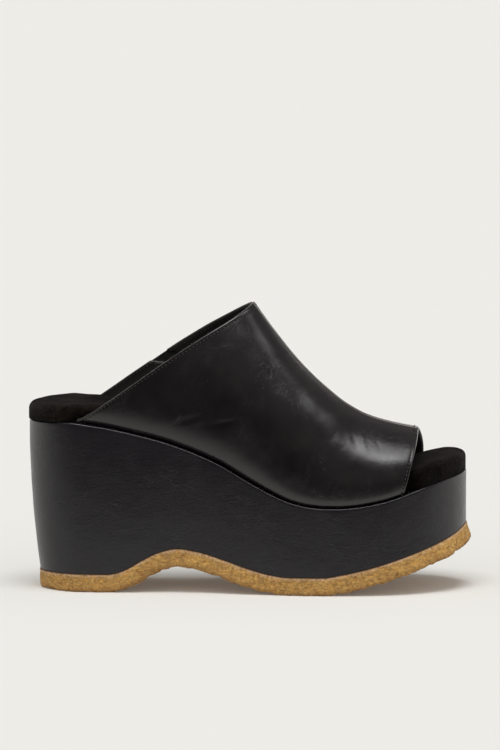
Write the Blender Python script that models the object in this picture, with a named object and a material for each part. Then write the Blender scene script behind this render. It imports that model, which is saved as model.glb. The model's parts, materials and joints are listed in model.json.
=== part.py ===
"""Platform mule with a peep toe, for the right foot: outsole, platform, footbed, upper and gore.

Metres. While it is shaped, x runs from the back of the heel to the toe, y from the outer (lateral)
side to the inner (medial) side, and z up from the floor. At the end the shoe is centred over the origin.
"""

import math

import bmesh
import bpy
import numpy as np

# Sole sizes
PLATFORM_LENGTH = 0.2360
HEEL_WIDTH = 0.0630
BALL_WIDTH = 0.0895
HEEL_ROUND = 0.0315
TOE_ROUND = 0.0600
TOE_SQUARENESS = 2.3
TOE_SWING = 0.0045
HEEL_SEAT_HEIGHT = 0.0920
BALL_SEAT_HEIGHT = 0.0473
TOE_SEAT_RISE = 0.0163
OUTSOLE_THICKNESS = 0.0098
OUTSOLE_EDGE_ROUND = 0.0018
ARCH_RISE = 0.0142
TOE_SPRING = 0.0221
HEEL_UNDERCUT = 0.0056
PLATFORM_EDGE_ROUND = 0.0010

# Footbed sizes
FOOTBED_THICKNESS = 0.0098
FOOTBED_EDGE_ROUND = 0.0038
FOOTBED_HEEL_OVERHANG = 0.0004
FOOTBED_TOE_INSET = 0.0003
FOOTBED_CLEARANCE = 0.0017

# Where the upper starts to cover the footbed: it moves forwards with height at the collar, by a share of
# the collar's lean, and at the toe edge by a share of the height. The change is spread over a ramp.
COVER_COLLAR_LEAN = 0.7
COVER_TOE_LEAN = 0.3
COVER_RAMP = 2.5 * FOOTBED_EDGE_ROUND

# Upper sizes
UPPER_WALL = 0.0022
COLLAR_CORNER = 0.0256
COLLAR_FRONT = 0.1211
COLLAR_HEIGHT = 0.1544
COLLAR_BOW = 0.0021
VAMP_FRONT = 0.2102
VAMP_HEIGHT = 0.0858
TOE_CORNER_LATERAL = 0.2020
TOE_CORNER_MEDIAL = 0.2122
TOE_EDGE_BOW = 0.0026
TUCK_DEPTH = 0.0046
CREST_OFFSET = 0.0030
SEAM_OFFSET = 0.0042
SEAM_LIP_SPACING = 0.0011
SEAM_LIP_HEIGHT = 0.0003
SEAM_GROOVE_DEPTH = 0.0004

# How quickly the bows of the collar and of the toe edge die away from those edges, as powers
COLLAR_BOW_FADE = 3
TOE_BOW_FADE = 4

# Gore sizes
GORE_START = 0.41
GORE_END = 0.505
GORE_REACH = 0.24
GORE_THICKNESS = 0.0012
GORE_RECESS = 0.0006
GORE_TOP_DROP = 0.0006

# Where two pieces meet
SEAT_GAP = 0.0003
GORE_SIDE_GAP = 1.5 * SEAT_GAP

# How finely the pieces are faceted
SOLE_STATIONS = 68
TIP_CROWDING = 0.9
UPPER_SECTIONS = 24
TUCK_STEPS = 5
ARCH_STEPS = 11
ARCH_CROWDING = 1.6
GORE_ROWS = 8
GORE_COLUMNS = 4
SHARP_DEGREES = 40

# Heights of the rings of a wall: the platform's as shares of it, the footbed's as angles of its rounding
PLATFORM_LAYERS = (0, 0.2, 0.45, 0.7, 1)
FOOTBED_ANGLES = (0.5, 0.95, math.pi / 2)

# A rounded edge has one ring in the middle, this share of the rounding away from either face
EDGE_MIDDLE = 0.3

# The step under the footbed's wall, as a share of its height, and the ring in the middle of that wall
FOOTBED_STEP = 0.96
FOOTBED_MIDDLE = 0.45

# The nearest that a plain column comes to one of the gore's, as a share of their spacing
COLUMN_CLEARANCE = 0.4

LATERAL, MEDIAL = -1, 1


def columns(names, rows):
    """The rows of a table as a dictionary of its named columns."""
    return dict(zip(names.split(), np.array(rows, float).T))


# Half widths of the platform's top, away from its rounded ends.
# along: share of the length. width: the size that the row follows. lateral, medial: shares of it.
WIDTHS = columns(
    "along width lateral medial",
    [
        (0.000, HEEL_WIDTH, 0.500, 0.500),
        (0.140, HEEL_WIDTH, 0.500, 0.497),
        (0.220, HEEL_WIDTH, 0.506, 0.487),
        (0.300, HEEL_WIDTH, 0.508, 0.468),
        (0.365, HEEL_WIDTH, 0.521, 0.462),
        (0.440, BALL_WIDTH, 0.393, 0.345),
        (0.545, BALL_WIDTH, 0.450, 0.404),
        (0.635, BALL_WIDTH, 0.491, 0.463),
        (0.710, BALL_WIDTH, 0.503, 0.495),
        (0.780, BALL_WIDTH, 0.503, 0.501),
        (1.000, BALL_WIDTH, 0.503, 0.498),
    ],
)

# Height of the platform's top over the ball's seat.
# along: share of the length. follows: the rise that the row follows. share: share of it.
HEEL_DROP = HEEL_SEAT_HEIGHT - BALL_SEAT_HEIGHT
SEAT_LINE = columns(
    "along follows share",
    [
        (0.000, HEEL_DROP, 0.984),
        (0.050, HEEL_DROP, 0.997),
        (0.090, HEEL_DROP, 1.000),
        (0.150, HEEL_DROP, 0.963),
        (0.200, HEEL_DROP, 0.915),
        (0.250, HEEL_DROP, 0.853),
        (0.300, HEEL_DROP, 0.783),
        (0.350, HEEL_DROP, 0.694),
        (0.400, HEEL_DROP, 0.590),
        (0.440, HEEL_DROP, 0.490),
        (0.480, HEEL_DROP, 0.367),
        (0.520, HEEL_DROP, 0.249),
        (0.560, HEEL_DROP, 0.142),
        (0.600, HEEL_DROP, 0.060),
        (0.640, HEEL_DROP, 0.015),
        (0.675, HEEL_DROP, 0.000),
        (0.700, TOE_SEAT_RISE, 0.000),
        (0.744, TOE_SEAT_RISE, 0.040),
        (0.776, TOE_SEAT_RISE, 0.110),
        (0.809, TOE_SEAT_RISE, 0.210),
        (0.842, TOE_SEAT_RISE, 0.345),
        (0.875, TOE_SEAT_RISE, 0.505),
        (0.907, TOE_SEAT_RISE, 0.655),
        (0.940, TOE_SEAT_RISE, 0.785),
        (0.970, TOE_SEAT_RISE, 0.900),
        (1.000, TOE_SEAT_RISE, 1.000),
    ],
)

# Height of the outsole's top over its flats: heel flat, arch, ball flat and toe spring.
UNDERSIDE_LINE = columns(
    "along follows share",
    [
        (0.000, ARCH_RISE, 0.000),
        (0.178, ARCH_RISE, 0.000),
        (0.202, ARCH_RISE, 0.070),
        (0.225, ARCH_RISE, 0.225),
        (0.261, ARCH_RISE, 0.570),
        (0.297, ARCH_RISE, 0.855),
        (0.338, ARCH_RISE, 1.000),
        (0.385, ARCH_RISE, 0.890),
        (0.444, ARCH_RISE, 0.600),
        (0.501, ARCH_RISE, 0.285),
        (0.552, ARCH_RISE, 0.075),
        (0.590, ARCH_RISE, 0.000),
        (0.665, TOE_SPRING, 0.000),
        (0.710, TOE_SPRING, 0.070),
        (0.771, TOE_SPRING, 0.215),
        (0.843, TOE_SPRING, 0.440),
        (0.918, TOE_SPRING, 0.710),
        (0.951, TOE_SPRING, 0.845),
        (0.977, TOE_SPRING, 0.975),
        (1.000, TOE_SPRING, 1.130),
        (1.040, TOE_SPRING, 1.400),
    ],
)

# How the plan changes along the length.
# undercut: share of HEEL_UNDERCUT. swing: share of TOE_SWING. flare: how far the outsole's edge
# leans with the slope over it. footbed: how thick the footbed is, as a share of FOOTBED_THICKNESS.
PLAN_TRENDS = columns(
    "along undercut swing flare footbed",
    [
        (0.000, 1.00, 0.00, 1.00, 0.95),
        (0.060, 0.80, 0.00, 1.00, 0.97),
        (0.110, 0.55, 0.00, 1.00, 1.02),
        (0.170, 0.38, 0.00, 1.00, 1.16),
        (0.300, 0.25, 0.00, 1.00, 1.10),
        (0.600, 0.05, 0.02, 1.00, 1.05),
        (0.800, 0.00, 0.20, 1.00, 1.15),
        (0.900, 0.00, 0.60, 0.90, 1.18),
        (0.960, 0.00, 0.85, 0.70, 1.15),
        (1.000, 0.00, 1.00, 0.50, 1.06),
    ],
)

# The collar's edge in side view.
# height: share of the way up from the corner to the crest. rise: over the straight line, share of COLLAR_BOW.
COLLAR_EDGE = columns(
    "height rise",
    [
        (0.000, 0.00),
        (0.120, 0.10),
        (0.350, 0.60),
        (0.600, 1.00),
        (0.720, 0.90),
        (0.850, 0.45),
        (1.000, 0.00),
    ],
)

# The upper's sections, which fan out from the collar to the toe edge.
# section: 0 at the collar, 1 at the toe edge. forward, height: shares of the way along the instep's crest.
# widest: share of the section's height where it is widest. tuck: share of TUCK_DEPTH.
# fullness: the power of its arch.
SECTIONS = columns(
    "section forward height widest tuck fullness",
    [
        (0.000, 0.000, 1.000, 0.160, 1.00, 2.60),
        (0.130, 0.099, 0.822, 0.280, 1.00, 2.55),
        (0.282, 0.220, 0.617, 0.330, 1.00, 2.50),
        (0.420, 0.340, 0.442, 0.330, 1.00, 2.45),
        (0.546, 0.460, 0.298, 0.240, 0.95, 2.40),
        (0.662, 0.580, 0.178, 0.150, 0.80, 2.35),
        (0.766, 0.700, 0.097, 0.140, 0.72, 2.30),
        (0.863, 0.820, 0.049, 0.150, 0.70, 2.25),
        (1.000, 1.000, 0.000, 0.190, 0.70, 2.20),
    ],
)


def smooth(at, xs, ys):
    """A curve through the rows that never swings past them, so that level stretches stay level."""
    xs, ys = np.asarray(xs), np.asarray(ys)
    steps = np.diff(xs)
    slopes = np.diff(ys) / steps
    tangents = np.zeros(len(xs))
    tangents[0], tangents[-1] = slopes[0], slopes[-1]
    before, after = slopes[:-1], slopes[1:]
    same_way = before * after > 0
    weight = 2 * steps[1:] + steps[:-1], steps[1:] + 2 * steps[:-1]
    harmonic = (weight[0] + weight[1]) / (
        weight[0] / np.where(same_way, before, 1) + weight[1] / np.where(same_way, after, 1)
    )
    tangents[1:-1] = np.where(same_way, harmonic, 0)
    at = np.clip(at, xs[0], xs[-1])
    i = np.clip(np.searchsorted(xs, at, side="right") - 1, 0, len(steps) - 1)
    t = (at - xs[i]) / steps[i]
    return (
        ys[i] * (1 + 2 * t) * (1 - t) ** 2
        + ys[i + 1] * t**2 * (3 - 2 * t)
        + steps[i] * tangents[i] * t * (1 - t) ** 2
        - steps[i] * tangents[i + 1] * t**2 * (1 - t)
    )


def seat_height(x):
    """Height of the platform's top at x."""
    rise = SEAT_LINE["follows"] * SEAT_LINE["share"]
    return BALL_SEAT_HEIGHT + smooth(x / PLATFORM_LENGTH, SEAT_LINE["along"], rise)


def underside_height(x):
    """Height of the outsole's top, which the platform's underside follows, at x."""
    rise = UNDERSIDE_LINE["follows"] * UNDERSIDE_LINE["share"]
    return OUTSOLE_THICKNESS + smooth(x / PLATFORM_LENGTH, UNDERSIDE_LINE["along"], rise)


def slope_of(height, x, step=0.0002):
    """Slope of a height line at x."""
    return (height(x + step) - height(x - step)) / (2 * step)


def end_rounding(x):
    """1 along the platform, and the round fall of its width to 0 at the heel and the toe."""
    heel = np.clip(1 - x / HEEL_ROUND, 0, 1)
    toe = np.clip((x - PLATFORM_LENGTH + TOE_ROUND) / TOE_ROUND, 0, 1)
    return np.sqrt(1 - heel**2) * np.sqrt(1 - toe**TOE_SQUARENESS)


def outline_y(x, side):
    """y of the platform's top edge at x, on one side."""
    along = x / PLATFORM_LENGTH
    half = WIDTHS["width"] * WIDTHS["lateral" if side == LATERAL else "medial"]
    swing = TOE_SWING * smooth(along, PLAN_TRENDS["along"], PLAN_TRENDS["swing"])
    return swing + side * smooth(along, WIDTHS["along"], half) * end_rounding(x)


class Outline:
    """The platform's edge in plan as one closed ring: heel tip, lateral side, toe tip, medial side."""

    def __init__(self):
        t = np.linspace(0, 1, SOLE_STATIONS + 1)
        x = PLATFORM_LENGTH * (t - TIP_CROWDING * np.sin(2 * math.pi * t) / (2 * math.pi))
        inner = x[1:-1]
        lateral = np.column_stack([x, outline_y(x, LATERAL)])
        medial = np.column_stack([inner, outline_y(inner, MEDIAL)])[::-1]
        self.plan = np.concatenate([lateral, medial])
        self.side = np.array([LATERAL] * len(lateral) + [MEDIAL] * len(medial))
        along = np.roll(self.plan, -1, 0) - np.roll(self.plan, 1, 0)
        along /= np.linalg.norm(along, axis=1)[:, None]
        self.outwards = np.column_stack([along[:, 1], -along[:, 0]])
        trend = smooth(self.plan[:, 0] / PLATFORM_LENGTH, PLAN_TRENDS["along"], PLAN_TRENDS["undercut"])
        self.undercut = HEEL_UNDERCUT * trend

    def ring(self, inset, height):
        """The ring moved inwards by inset, with its points at height(x)."""
        inset = np.broadcast_to(inset, len(self.plan))
        plan = self.plan - inset[:, None] * self.outwards
        return np.column_stack([plan, height(plan[:, 0])])


def stacked_solid(rings):
    """Points and faces of a solid whose wall passes through the rings, from the lowest to the highest.

    Each end is closed by strips across the shoe, from a lateral point to the medial point level with it."""
    count = len(rings[0])
    points = np.concatenate(rings)
    faces = []
    for level in range(len(rings) - 1):
        low, high = level * count, (level + 1) * count
        for k in range(count):
            n = (k + 1) % count
            faces.append((low + k, low + n, high + n, high + k))
    top = (len(rings) - 1) * count
    for k in range(count // 2):
        far, far_next = (count - k) % count, count - k - 1
        bottom = [k, far, far_next, k + 1]
        lid = [top + k, top + k + 1, top + far_next, top + far]
        faces += [tuple(dict.fromkeys(bottom)), tuple(dict.fromkeys(lid))]
    return points, faces


def outsole(outline):
    """A sheet of constant thickness that hangs square under the underside line, with a rounded lower edge."""
    top = outline.ring(outline.undercut, underside_height)
    flare = smooth(top[:, 0] / PLATFORM_LENGTH, PLAN_TRENDS["along"], PLAN_TRENDS["flare"])
    slope = flare * slope_of(underside_height, top[:, 0])
    down = np.column_stack([slope, 0 * slope, -np.ones(len(slope))])
    down /= np.linalg.norm(down, axis=1)[:, None]
    inwards = -np.column_stack([outline.outwards, 0 * slope])

    def layer(depth, inset):
        return top + depth * down + inset * inwards

    turn = OUTSOLE_EDGE_ROUND
    rings = [
        layer(OUTSOLE_THICKNESS, turn),
        layer(OUTSOLE_THICKNESS - EDGE_MIDDLE * turn, EDGE_MIDDLE * turn),
        layer(OUTSOLE_THICKNESS - turn, 0),
        layer(0, 0),
    ]
    return stacked_solid(rings)


def platform(outline):
    """The wrapped core: undercut at the heel, with a rounded upper edge."""
    turn = PLATFORM_EDGE_ROUND

    def layer(share):
        def height(x):
            low = underside_height(x) + SEAT_GAP
            return low + share * (seat_height(x) - turn - low)

        return outline.ring(outline.undercut * (1 - share) ** 2, height)

    rings = [layer(share) for share in PLATFORM_LAYERS]
    rings.append(outline.ring(EDGE_MIDDLE * turn, lambda x: seat_height(x) - EDGE_MIDDLE * turn))
    rings.append(outline.ring(turn, seat_height))
    return stacked_solid(rings)


def section_frame(section, side):
    """The side view of a section: its foot (x, z) on the platform and its crest (x, z) on the instep."""
    toe_corner = TOE_CORNER_LATERAL if side == LATERAL else TOE_CORNER_MEDIAL
    foot_x = COLLAR_CORNER + section * (toe_corner - COLLAR_CORNER)
    forward = smooth(section, SECTIONS["section"], SECTIONS["forward"])
    height = smooth(section, SECTIONS["section"], SECTIONS["height"])
    crest_x = COLLAR_FRONT + forward * (VAMP_FRONT - COLLAR_FRONT)
    crest_z = VAMP_HEIGHT + height * (COLLAR_HEIGHT - VAMP_HEIGHT)
    return (foot_x, seat_height(foot_x) + SEAT_GAP), (crest_x, crest_z)


def section_side_view(section, side, share):
    """x and z of the point at that share of a section's height. The collar's edge bows up a little,
    and the medial toe edge bows forward."""
    foot, crest = section_frame(section, side)
    bow = TOE_EDGE_BOW * section**TOE_BOW_FADE * 4 * share * (1 - share) if side == MEDIAL else 0
    fade = (1 - section) ** COLLAR_BOW_FADE
    rise = COLLAR_BOW * fade * smooth(share, COLLAR_EDGE["height"], COLLAR_EDGE["rise"])
    return foot[0] + share * (crest[0] - foot[0]) + bow, foot[1] + share * (crest[1] - foot[1]) + rise


def tuck_point(section, side, turn):
    """A point of the part that turns in under the widest line: turn is 0 at the seat and 1 at that line."""
    angle = turn * math.pi / 2
    widest = smooth(section, SECTIONS["section"], SECTIONS["widest"])
    depth = TUCK_DEPTH * smooth(section, SECTIONS["section"], SECTIONS["tuck"])
    x, z = section_side_view(section, side, widest * (1 - math.cos(angle)))
    return x, outline_y(x, side) - side * depth * (1 - math.sin(angle)), z


def arch_point(section, angle):
    """A point of the arch over the foot: angle is 0 at the lateral widest line and pi at the medial one."""
    side = LATERAL if angle < math.pi / 2 else MEDIAL
    widest = smooth(section, SECTIONS["section"], SECTIONS["widest"])
    fullness = smooth(section, SECTIONS["section"], SECTIONS["fullness"])
    rise = max(math.sin(angle), 0) ** (2 / fullness)
    x, z = section_side_view(section, side, widest + (1 - widest) * rise)
    return x, CREST_OFFSET + (outline_y(x, side) - CREST_OFFSET) * abs(math.cos(angle)), z


def seam_angle(section):
    """Where the seam crosses the section's arch, a little lateral of the crest."""
    crest_x = section_frame(section, LATERAL)[1][0]
    return math.acos(SEAM_OFFSET / (CREST_OFFSET - outline_y(crest_x, LATERAL)))


def seam_step(section, distance):
    """The angle that the distance takes up along the arch, beside the seam."""
    crest_x = section_frame(section, LATERAL)[1][0]
    return distance / (CREST_OFFSET - outline_y(crest_x, LATERAL))


def gore_column(share):
    """The place between the medial widest line and the seam that is at that share of the collar's height."""
    widest, fullness = SECTIONS["widest"][0], SECTIONS["fullness"][0]
    angle = math.asin(((share - widest) / (1 - widest)) ** (fullness / 2))
    reach = math.pi - seam_angle(0) - seam_step(0, 2 * SEAM_LIP_SPACING)
    return (angle / reach) ** (1 / ARCH_CROWDING)


def upper_columns():
    """The lines that run from collar to toe edge, as (zone, place), from the lateral seat to the medial seat."""
    steps = np.linspace(0, 1, ARCH_STEPS + 1)
    gore = [gore_column(GORE_START), gore_column(GORE_END)]
    medial = [s for s in steps if min(abs(s - g) for g in gore) > COLUMN_CLEARANCE / ARCH_STEPS] + gore
    tuck = np.linspace(0, 1, TUCK_STEPS + 1)[:-1]
    listed = [("lateral_tuck", t) for t in tuck]
    listed += [("lateral_arch", s) for s in steps]
    listed += [("seam", d) for d in (-SEAM_LIP_SPACING, 0, SEAM_LIP_SPACING)]
    listed += [("medial_arch", s) for s in sorted(medial, reverse=True)]
    listed += [("medial_tuck", t) for t in tuck[::-1]]
    return listed


def upper_point(section, column):
    """A point of the upper's outer surface, without the seam's relief."""
    zone, place = column
    if zone == "lateral_tuck":
        return tuck_point(section, LATERAL, place)
    if zone == "medial_tuck":
        return tuck_point(section, MEDIAL, place)
    seam, margin = seam_angle(section), seam_step(section, 2 * SEAM_LIP_SPACING)
    if zone == "seam":
        return arch_point(section, seam + seam_step(section, place))
    if zone == "lateral_arch":
        return arch_point(section, (seam - margin) * place**ARCH_CROWDING)
    return arch_point(section, math.pi - (math.pi - seam - margin) * place**ARCH_CROWDING)


def surface_grid(sections, listed):
    """Points of the upper's outer surface and its outward normals, on a grid of sections and columns."""
    grid = np.array([[upper_point(s, c) for c in listed] for s in sections], float)
    along, across = np.gradient(grid, axis=0), np.gradient(grid, axis=1)
    normals = np.cross(along, across)
    normals /= np.linalg.norm(normals, axis=2)[:, :, None]
    return grid, normals


def shell_solid(outer, inner, kept):
    """A wall between two grids of points: kept says which cells of the grid it fills."""
    rows, cols = outer.shape[:2]
    index = np.arange(rows * cols).reshape(rows, cols)
    below = index + rows * cols
    faces = []

    def filled(i, j):
        return 0 <= i < rows - 1 and 0 <= j < cols - 1 and kept[i, j]

    for i in range(rows - 1):
        for j in range(cols - 1):
            if not kept[i, j]:
                continue
            a, b, c, d = (i, j), (i, j + 1), (i + 1, j + 1), (i + 1, j)
            faces.append((index[a], index[b], index[c], index[d]))
            faces.append((below[d], below[c], below[b], below[a]))
            for near, far, beyond in (
                (a, b, (i - 1, j)),
                (b, c, (i, j + 1)),
                (c, d, (i + 1, j)),
                (d, a, (i, j - 1)),
            ):
                if not filled(*beyond):
                    faces.append((index[far], index[near], below[near], below[far]))
    return np.concatenate([outer.reshape(-1, 3), inner.reshape(-1, 3)]), faces


def upper():
    """The hollow shell with its slot for the gore and the centre seam's lips and groove."""
    even = np.linspace(0, 1, UPPER_SECTIONS + 1)
    nearest = np.abs(even - GORE_REACH).argmin()
    even[nearest] = GORE_REACH
    listed = upper_columns()
    outer, normals = surface_grid(even, listed)
    inner = outer - UPPER_WALL * normals
    relief = {-SEAM_LIP_SPACING: SEAM_LIP_HEIGHT, 0: -SEAM_GROOVE_DEPTH, SEAM_LIP_SPACING: SEAM_LIP_HEIGHT}
    for j, (zone, place) in enumerate(listed):
        if zone == "seam":
            outer[:, j] += relief[place] * normals[:, j]
    kept = np.ones((len(even) - 1, len(listed) - 1), bool)
    slot = [j for j, c in enumerate(listed) if c in gore_edges()]
    kept[:nearest, min(slot) : max(slot)] = False
    return shell_solid(outer, inner, kept)


def gore_edges():
    """The two columns that the gore's slot lies between."""
    return [("medial_arch", gore_column(GORE_START)), ("medial_arch", gore_column(GORE_END))]


def gore():
    """The elastic panel in the slot, a little under the leather's surface and its edge."""
    corners = [np.array(upper_point(s, c)) for s, c in ((0, gore_edges()[0]), (0, gore_edges()[1]))]
    wide = np.linalg.norm(corners[1] - corners[0])
    deep = np.linalg.norm(np.array(upper_point(GORE_REACH, gore_edges()[0])) - corners[0])
    low, high = gore_edges()[0][1], gore_edges()[1][1]
    side_gap = GORE_SIDE_GAP / wide * (high - low)
    top_section, foot_section = GORE_TOP_DROP / deep * GORE_REACH, GORE_REACH * (1 - SEAT_GAP / deep)
    sections = np.linspace(top_section, foot_section, GORE_ROWS + 1)
    places = np.linspace(high - side_gap, low + side_gap, GORE_COLUMNS + 1)
    outer, normals = surface_grid(sections, [("medial_arch", place) for place in places])
    top = outer - GORE_RECESS * normals
    return shell_solid(top, top - GORE_THICKNESS * normals, np.ones((GORE_ROWS, GORE_COLUMNS), bool))


def footbed(outline):
    """The padded footbed: free at the heel and the toe, and let in where the upper goes down beside it."""
    x, side = outline.plan[:, 0], outline.side
    along = x / PLATFORM_LENGTH
    collar = section_frame(0, LATERAL)
    toe_corner = np.where(side == LATERAL, TOE_CORNER_LATERAL, TOE_CORNER_MEDIAL)
    foot_places = (x - COLLAR_CORNER) / (toe_corner - COLLAR_CORNER)
    widest_height = tuck_heights(np.clip(foot_places, 0, 1), side)
    rounding_from = FOOTBED_THICKNESS - FOOTBED_EDGE_ROUND
    seat = SEAT_GAP + UPPER_WALL + FOOTBED_CLEARANCE / 2
    free_inset = FOOTBED_TOE_INSET * along - FOOTBED_HEEL_OVERHANG * (1 - along)

    def padding(at):
        """How much thicker than FOOTBED_THICKNESS the footbed is."""
        share = smooth(at / PLATFORM_LENGTH, PLAN_TRENDS["along"], PLAN_TRENDS["footbed"])
        return FOOTBED_THICKNESS * (share - 1)

    def let_in(height):
        """Inset that clears the upper's wall at that height over the seat."""
        if height < seat:
            return np.full(len(x), TUCK_DEPTH + FOOTBED_CLEARANCE)
        below = np.clip((widest_height - height) / (widest_height - seat), 0, 1)
        return seat + (TUCK_DEPTH - seat) * (1 - np.sqrt(1 - below**2)) + FOOTBED_CLEARANCE

    def covered(height):
        """0 where the footbed's edge is free at that height, 1 where the upper is beside it."""
        lean = (collar[1][0] - collar[0][0]) / (collar[1][1] - collar[0][1])
        from_x = COLLAR_CORNER + COVER_COLLAR_LEAN * lean * max(height - seat, 0) - FOOTBED_CLEARANCE
        to_x = toe_corner + COVER_TOE_LEAN * height + FOOTBED_CLEARANCE
        behind, ahead = (x - from_x) / COVER_RAMP, (to_x - x) / COVER_RAMP
        return np.clip(1 + behind, 0, 1) * np.clip(1 + ahead, 0, 1)

    def layer(height):
        over = max(height - rounding_from, 0)
        rounded = FOOTBED_EDGE_ROUND - math.sqrt(FOOTBED_EDGE_ROUND**2 - over**2)
        inset = free_inset + covered(height) * (let_in(height) - free_inset)
        padded = min(max(height - seat, 0) / (rounding_from - seat), 1)
        return outline.ring(inset + rounded, lambda at: seat_height(at) + height + padded * padding(at))

    heights = [SEAT_GAP, FOOTBED_STEP * seat, seat, FOOTBED_MIDDLE * FOOTBED_THICKNESS, rounding_from]
    heights += [rounding_from + FOOTBED_EDGE_ROUND * math.sin(angle) for angle in FOOTBED_ANGLES]
    return stacked_solid([layer(height) for height in heights])


def tuck_heights(places, side):
    """Height over the seat, at each place along the upper's foot, where the upper is widest."""
    found = []
    for place, where in zip(places, side):
        x, _, z = tuck_point(place, where, 1)
        found.append(z - seat_height(x))
    return np.array(found)


def material(name, colour, roughness):
    made = bpy.data.materials.new(name)
    made.use_nodes = True
    shader = made.node_tree.nodes["Principled BSDF"]
    shader.inputs["Base Color"].default_value = (*colour, 1)
    shader.inputs["Roughness"].default_value = roughness
    shader.inputs["Metallic"].default_value = 0
    return made


def add_piece(name, solid, finish, frame):
    """An object from points and faces, facing outwards and smooth where it curves gently."""
    points, faces = solid
    mesh = bpy.data.meshes.new(name)
    mesh.from_pydata([tuple(p) for p in points], [], [[int(i) for i in f] for f in faces])
    editable = bmesh.new()
    editable.from_mesh(mesh)
    bmesh.ops.delete(editable, geom=[v for v in editable.verts if not v.link_faces], context="VERTS")
    bmesh.ops.recalc_face_normals(editable, faces=editable.faces)
    editable.to_mesh(mesh)
    editable.free()
    mesh.shade_smooth()
    mesh.set_sharp_from_angle(angle=math.radians(SHARP_DEGREES))
    mesh.materials.append(finish)
    piece = bpy.data.objects.new(name, mesh)
    bpy.context.scene.collection.objects.link(piece)
    piece.parent = frame


def main():
    for old in list(bpy.data.objects):
        bpy.data.objects.remove(old)
    black_leather = (0.012, 0.011, 0.011)
    outline = Outline()
    solids = {
        "outsole": (outsole(outline), material("crepe_rubber", (0.38, 0.22, 0.07), 0.85)),
        "platform": (platform(outline), material("wrap_leather", (0.016, 0.015, 0.016), 0.42)),
        "footbed": (footbed(outline), material("suede", (0.013, 0.011, 0.010), 0.95)),
        "upper": (upper(), material("upper_leather", black_leather, 0.28)),
        "gore": (gore(), material("elastic", (0.015, 0.014, 0.014), 0.8)),
    }
    every_point = np.concatenate([points for (points, _), _ in solids.values()])
    middle = (every_point.min(0) + every_point.max(0)) / 2
    frame = bpy.data.objects.new("shoe_frame", None)
    bpy.context.scene.collection.objects.link(frame)
    frame.location = (-middle[0], -middle[1], 0)
    for name, (solid, finish) in solids.items():
        add_piece(name, solid, finish, frame)


main()
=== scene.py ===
"""The looks of a right platform mule with a peep toe: glossy leather upper with a butt seam, stitched
folded edges and an elastic gore, a leather-wrapped platform, a suede footbed and a crepe outsole.

Metres. As each piece is shaped, x runs from the back of the heel to the toe, y from the outer (lateral)
side to the inner (medial) side, and z up from the floor. settle() then moves its mesh over the origin.
"""

import json
import math

import bpy
import numpy as np
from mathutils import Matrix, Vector

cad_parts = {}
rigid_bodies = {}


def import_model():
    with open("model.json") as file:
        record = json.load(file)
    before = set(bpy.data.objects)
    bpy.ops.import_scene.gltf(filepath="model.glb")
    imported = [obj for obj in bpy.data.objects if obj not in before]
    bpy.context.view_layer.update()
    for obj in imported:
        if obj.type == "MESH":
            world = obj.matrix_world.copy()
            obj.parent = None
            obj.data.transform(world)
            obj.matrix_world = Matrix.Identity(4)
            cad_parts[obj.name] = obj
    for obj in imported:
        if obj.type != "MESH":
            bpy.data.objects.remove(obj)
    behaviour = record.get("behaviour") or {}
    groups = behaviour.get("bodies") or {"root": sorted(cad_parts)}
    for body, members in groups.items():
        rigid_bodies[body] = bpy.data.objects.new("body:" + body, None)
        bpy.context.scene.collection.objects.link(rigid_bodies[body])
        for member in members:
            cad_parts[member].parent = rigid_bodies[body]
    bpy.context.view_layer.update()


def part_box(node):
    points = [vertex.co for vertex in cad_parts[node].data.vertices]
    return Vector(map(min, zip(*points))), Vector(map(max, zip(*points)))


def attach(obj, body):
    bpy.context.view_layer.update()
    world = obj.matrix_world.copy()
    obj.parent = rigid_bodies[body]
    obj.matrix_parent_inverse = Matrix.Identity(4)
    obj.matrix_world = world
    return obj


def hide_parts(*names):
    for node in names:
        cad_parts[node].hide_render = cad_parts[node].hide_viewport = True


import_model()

# Sole sizes, as in the part's source
PLATFORM_LENGTH = 0.2360
HEEL_WIDTH = 0.0630
BALL_WIDTH = 0.0895
HEEL_ROUND = 0.0315
TOE_ROUND = 0.0600
TOE_SWING = 0.0045
HEEL_SEAT_HEIGHT = 0.0920
BALL_SEAT_HEIGHT = 0.0473
TOE_SEAT_RISE = 0.0163
OUTSOLE_THICKNESS = 0.0098
OUTSOLE_EDGE_ROUND = 0.0018
ARCH_RISE = 0.0142
TOE_SPRING = 0.0221
HEEL_UNDERCUT = 0.0056
PLATFORM_EDGE_ROUND = 0.0010

# Footbed sizes
FOOTBED_THICKNESS = 0.0098
FOOTBED_EDGE_ROUND = 0.0038
FOOTBED_HEEL_OVERHANG = 0.0004
FOOTBED_TOE_INSET = 0.0003
FOOTBED_CLEARANCE = 0.0017

# Upper sizes
UPPER_WALL = 0.0022
COLLAR_CORNER = 0.0256
COLLAR_FRONT = 0.1211
COLLAR_HEIGHT = 0.1544
COLLAR_BOW = 0.0021
VAMP_FRONT = 0.2102
VAMP_HEIGHT = 0.0858
TOE_CORNER_LATERAL = 0.2020
TOE_CORNER_MEDIAL = 0.2122
TOE_EDGE_BOW = 0.0026
TUCK_DEPTH = 0.0046
TUCK_SQUARENESS = 3.0
CREST_OFFSET = 0.0030
SEAM_OFFSET = 0.0042
SEAM_LIP_SPACING = 0.0011
SEAM_LIP_HEIGHT = 0.0004
SEAM_GROOVE_DEPTH = 0.0005
ARCH_CROWDING = 1.6

# Gore sizes
GORE_START = 0.41
GORE_END = 0.505
GORE_REACH = 0.24
GORE_THICKNESS = 0.0012
GORE_RECESS = 0.0006
GORE_TOP_DROP = 0.0006
GORE_RIB_PITCH = 0.0010
GORE_RIB_HEIGHT = 0.00022

SEAT_GAP = 0.0003
TIP_CROWDING = 0.9

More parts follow.
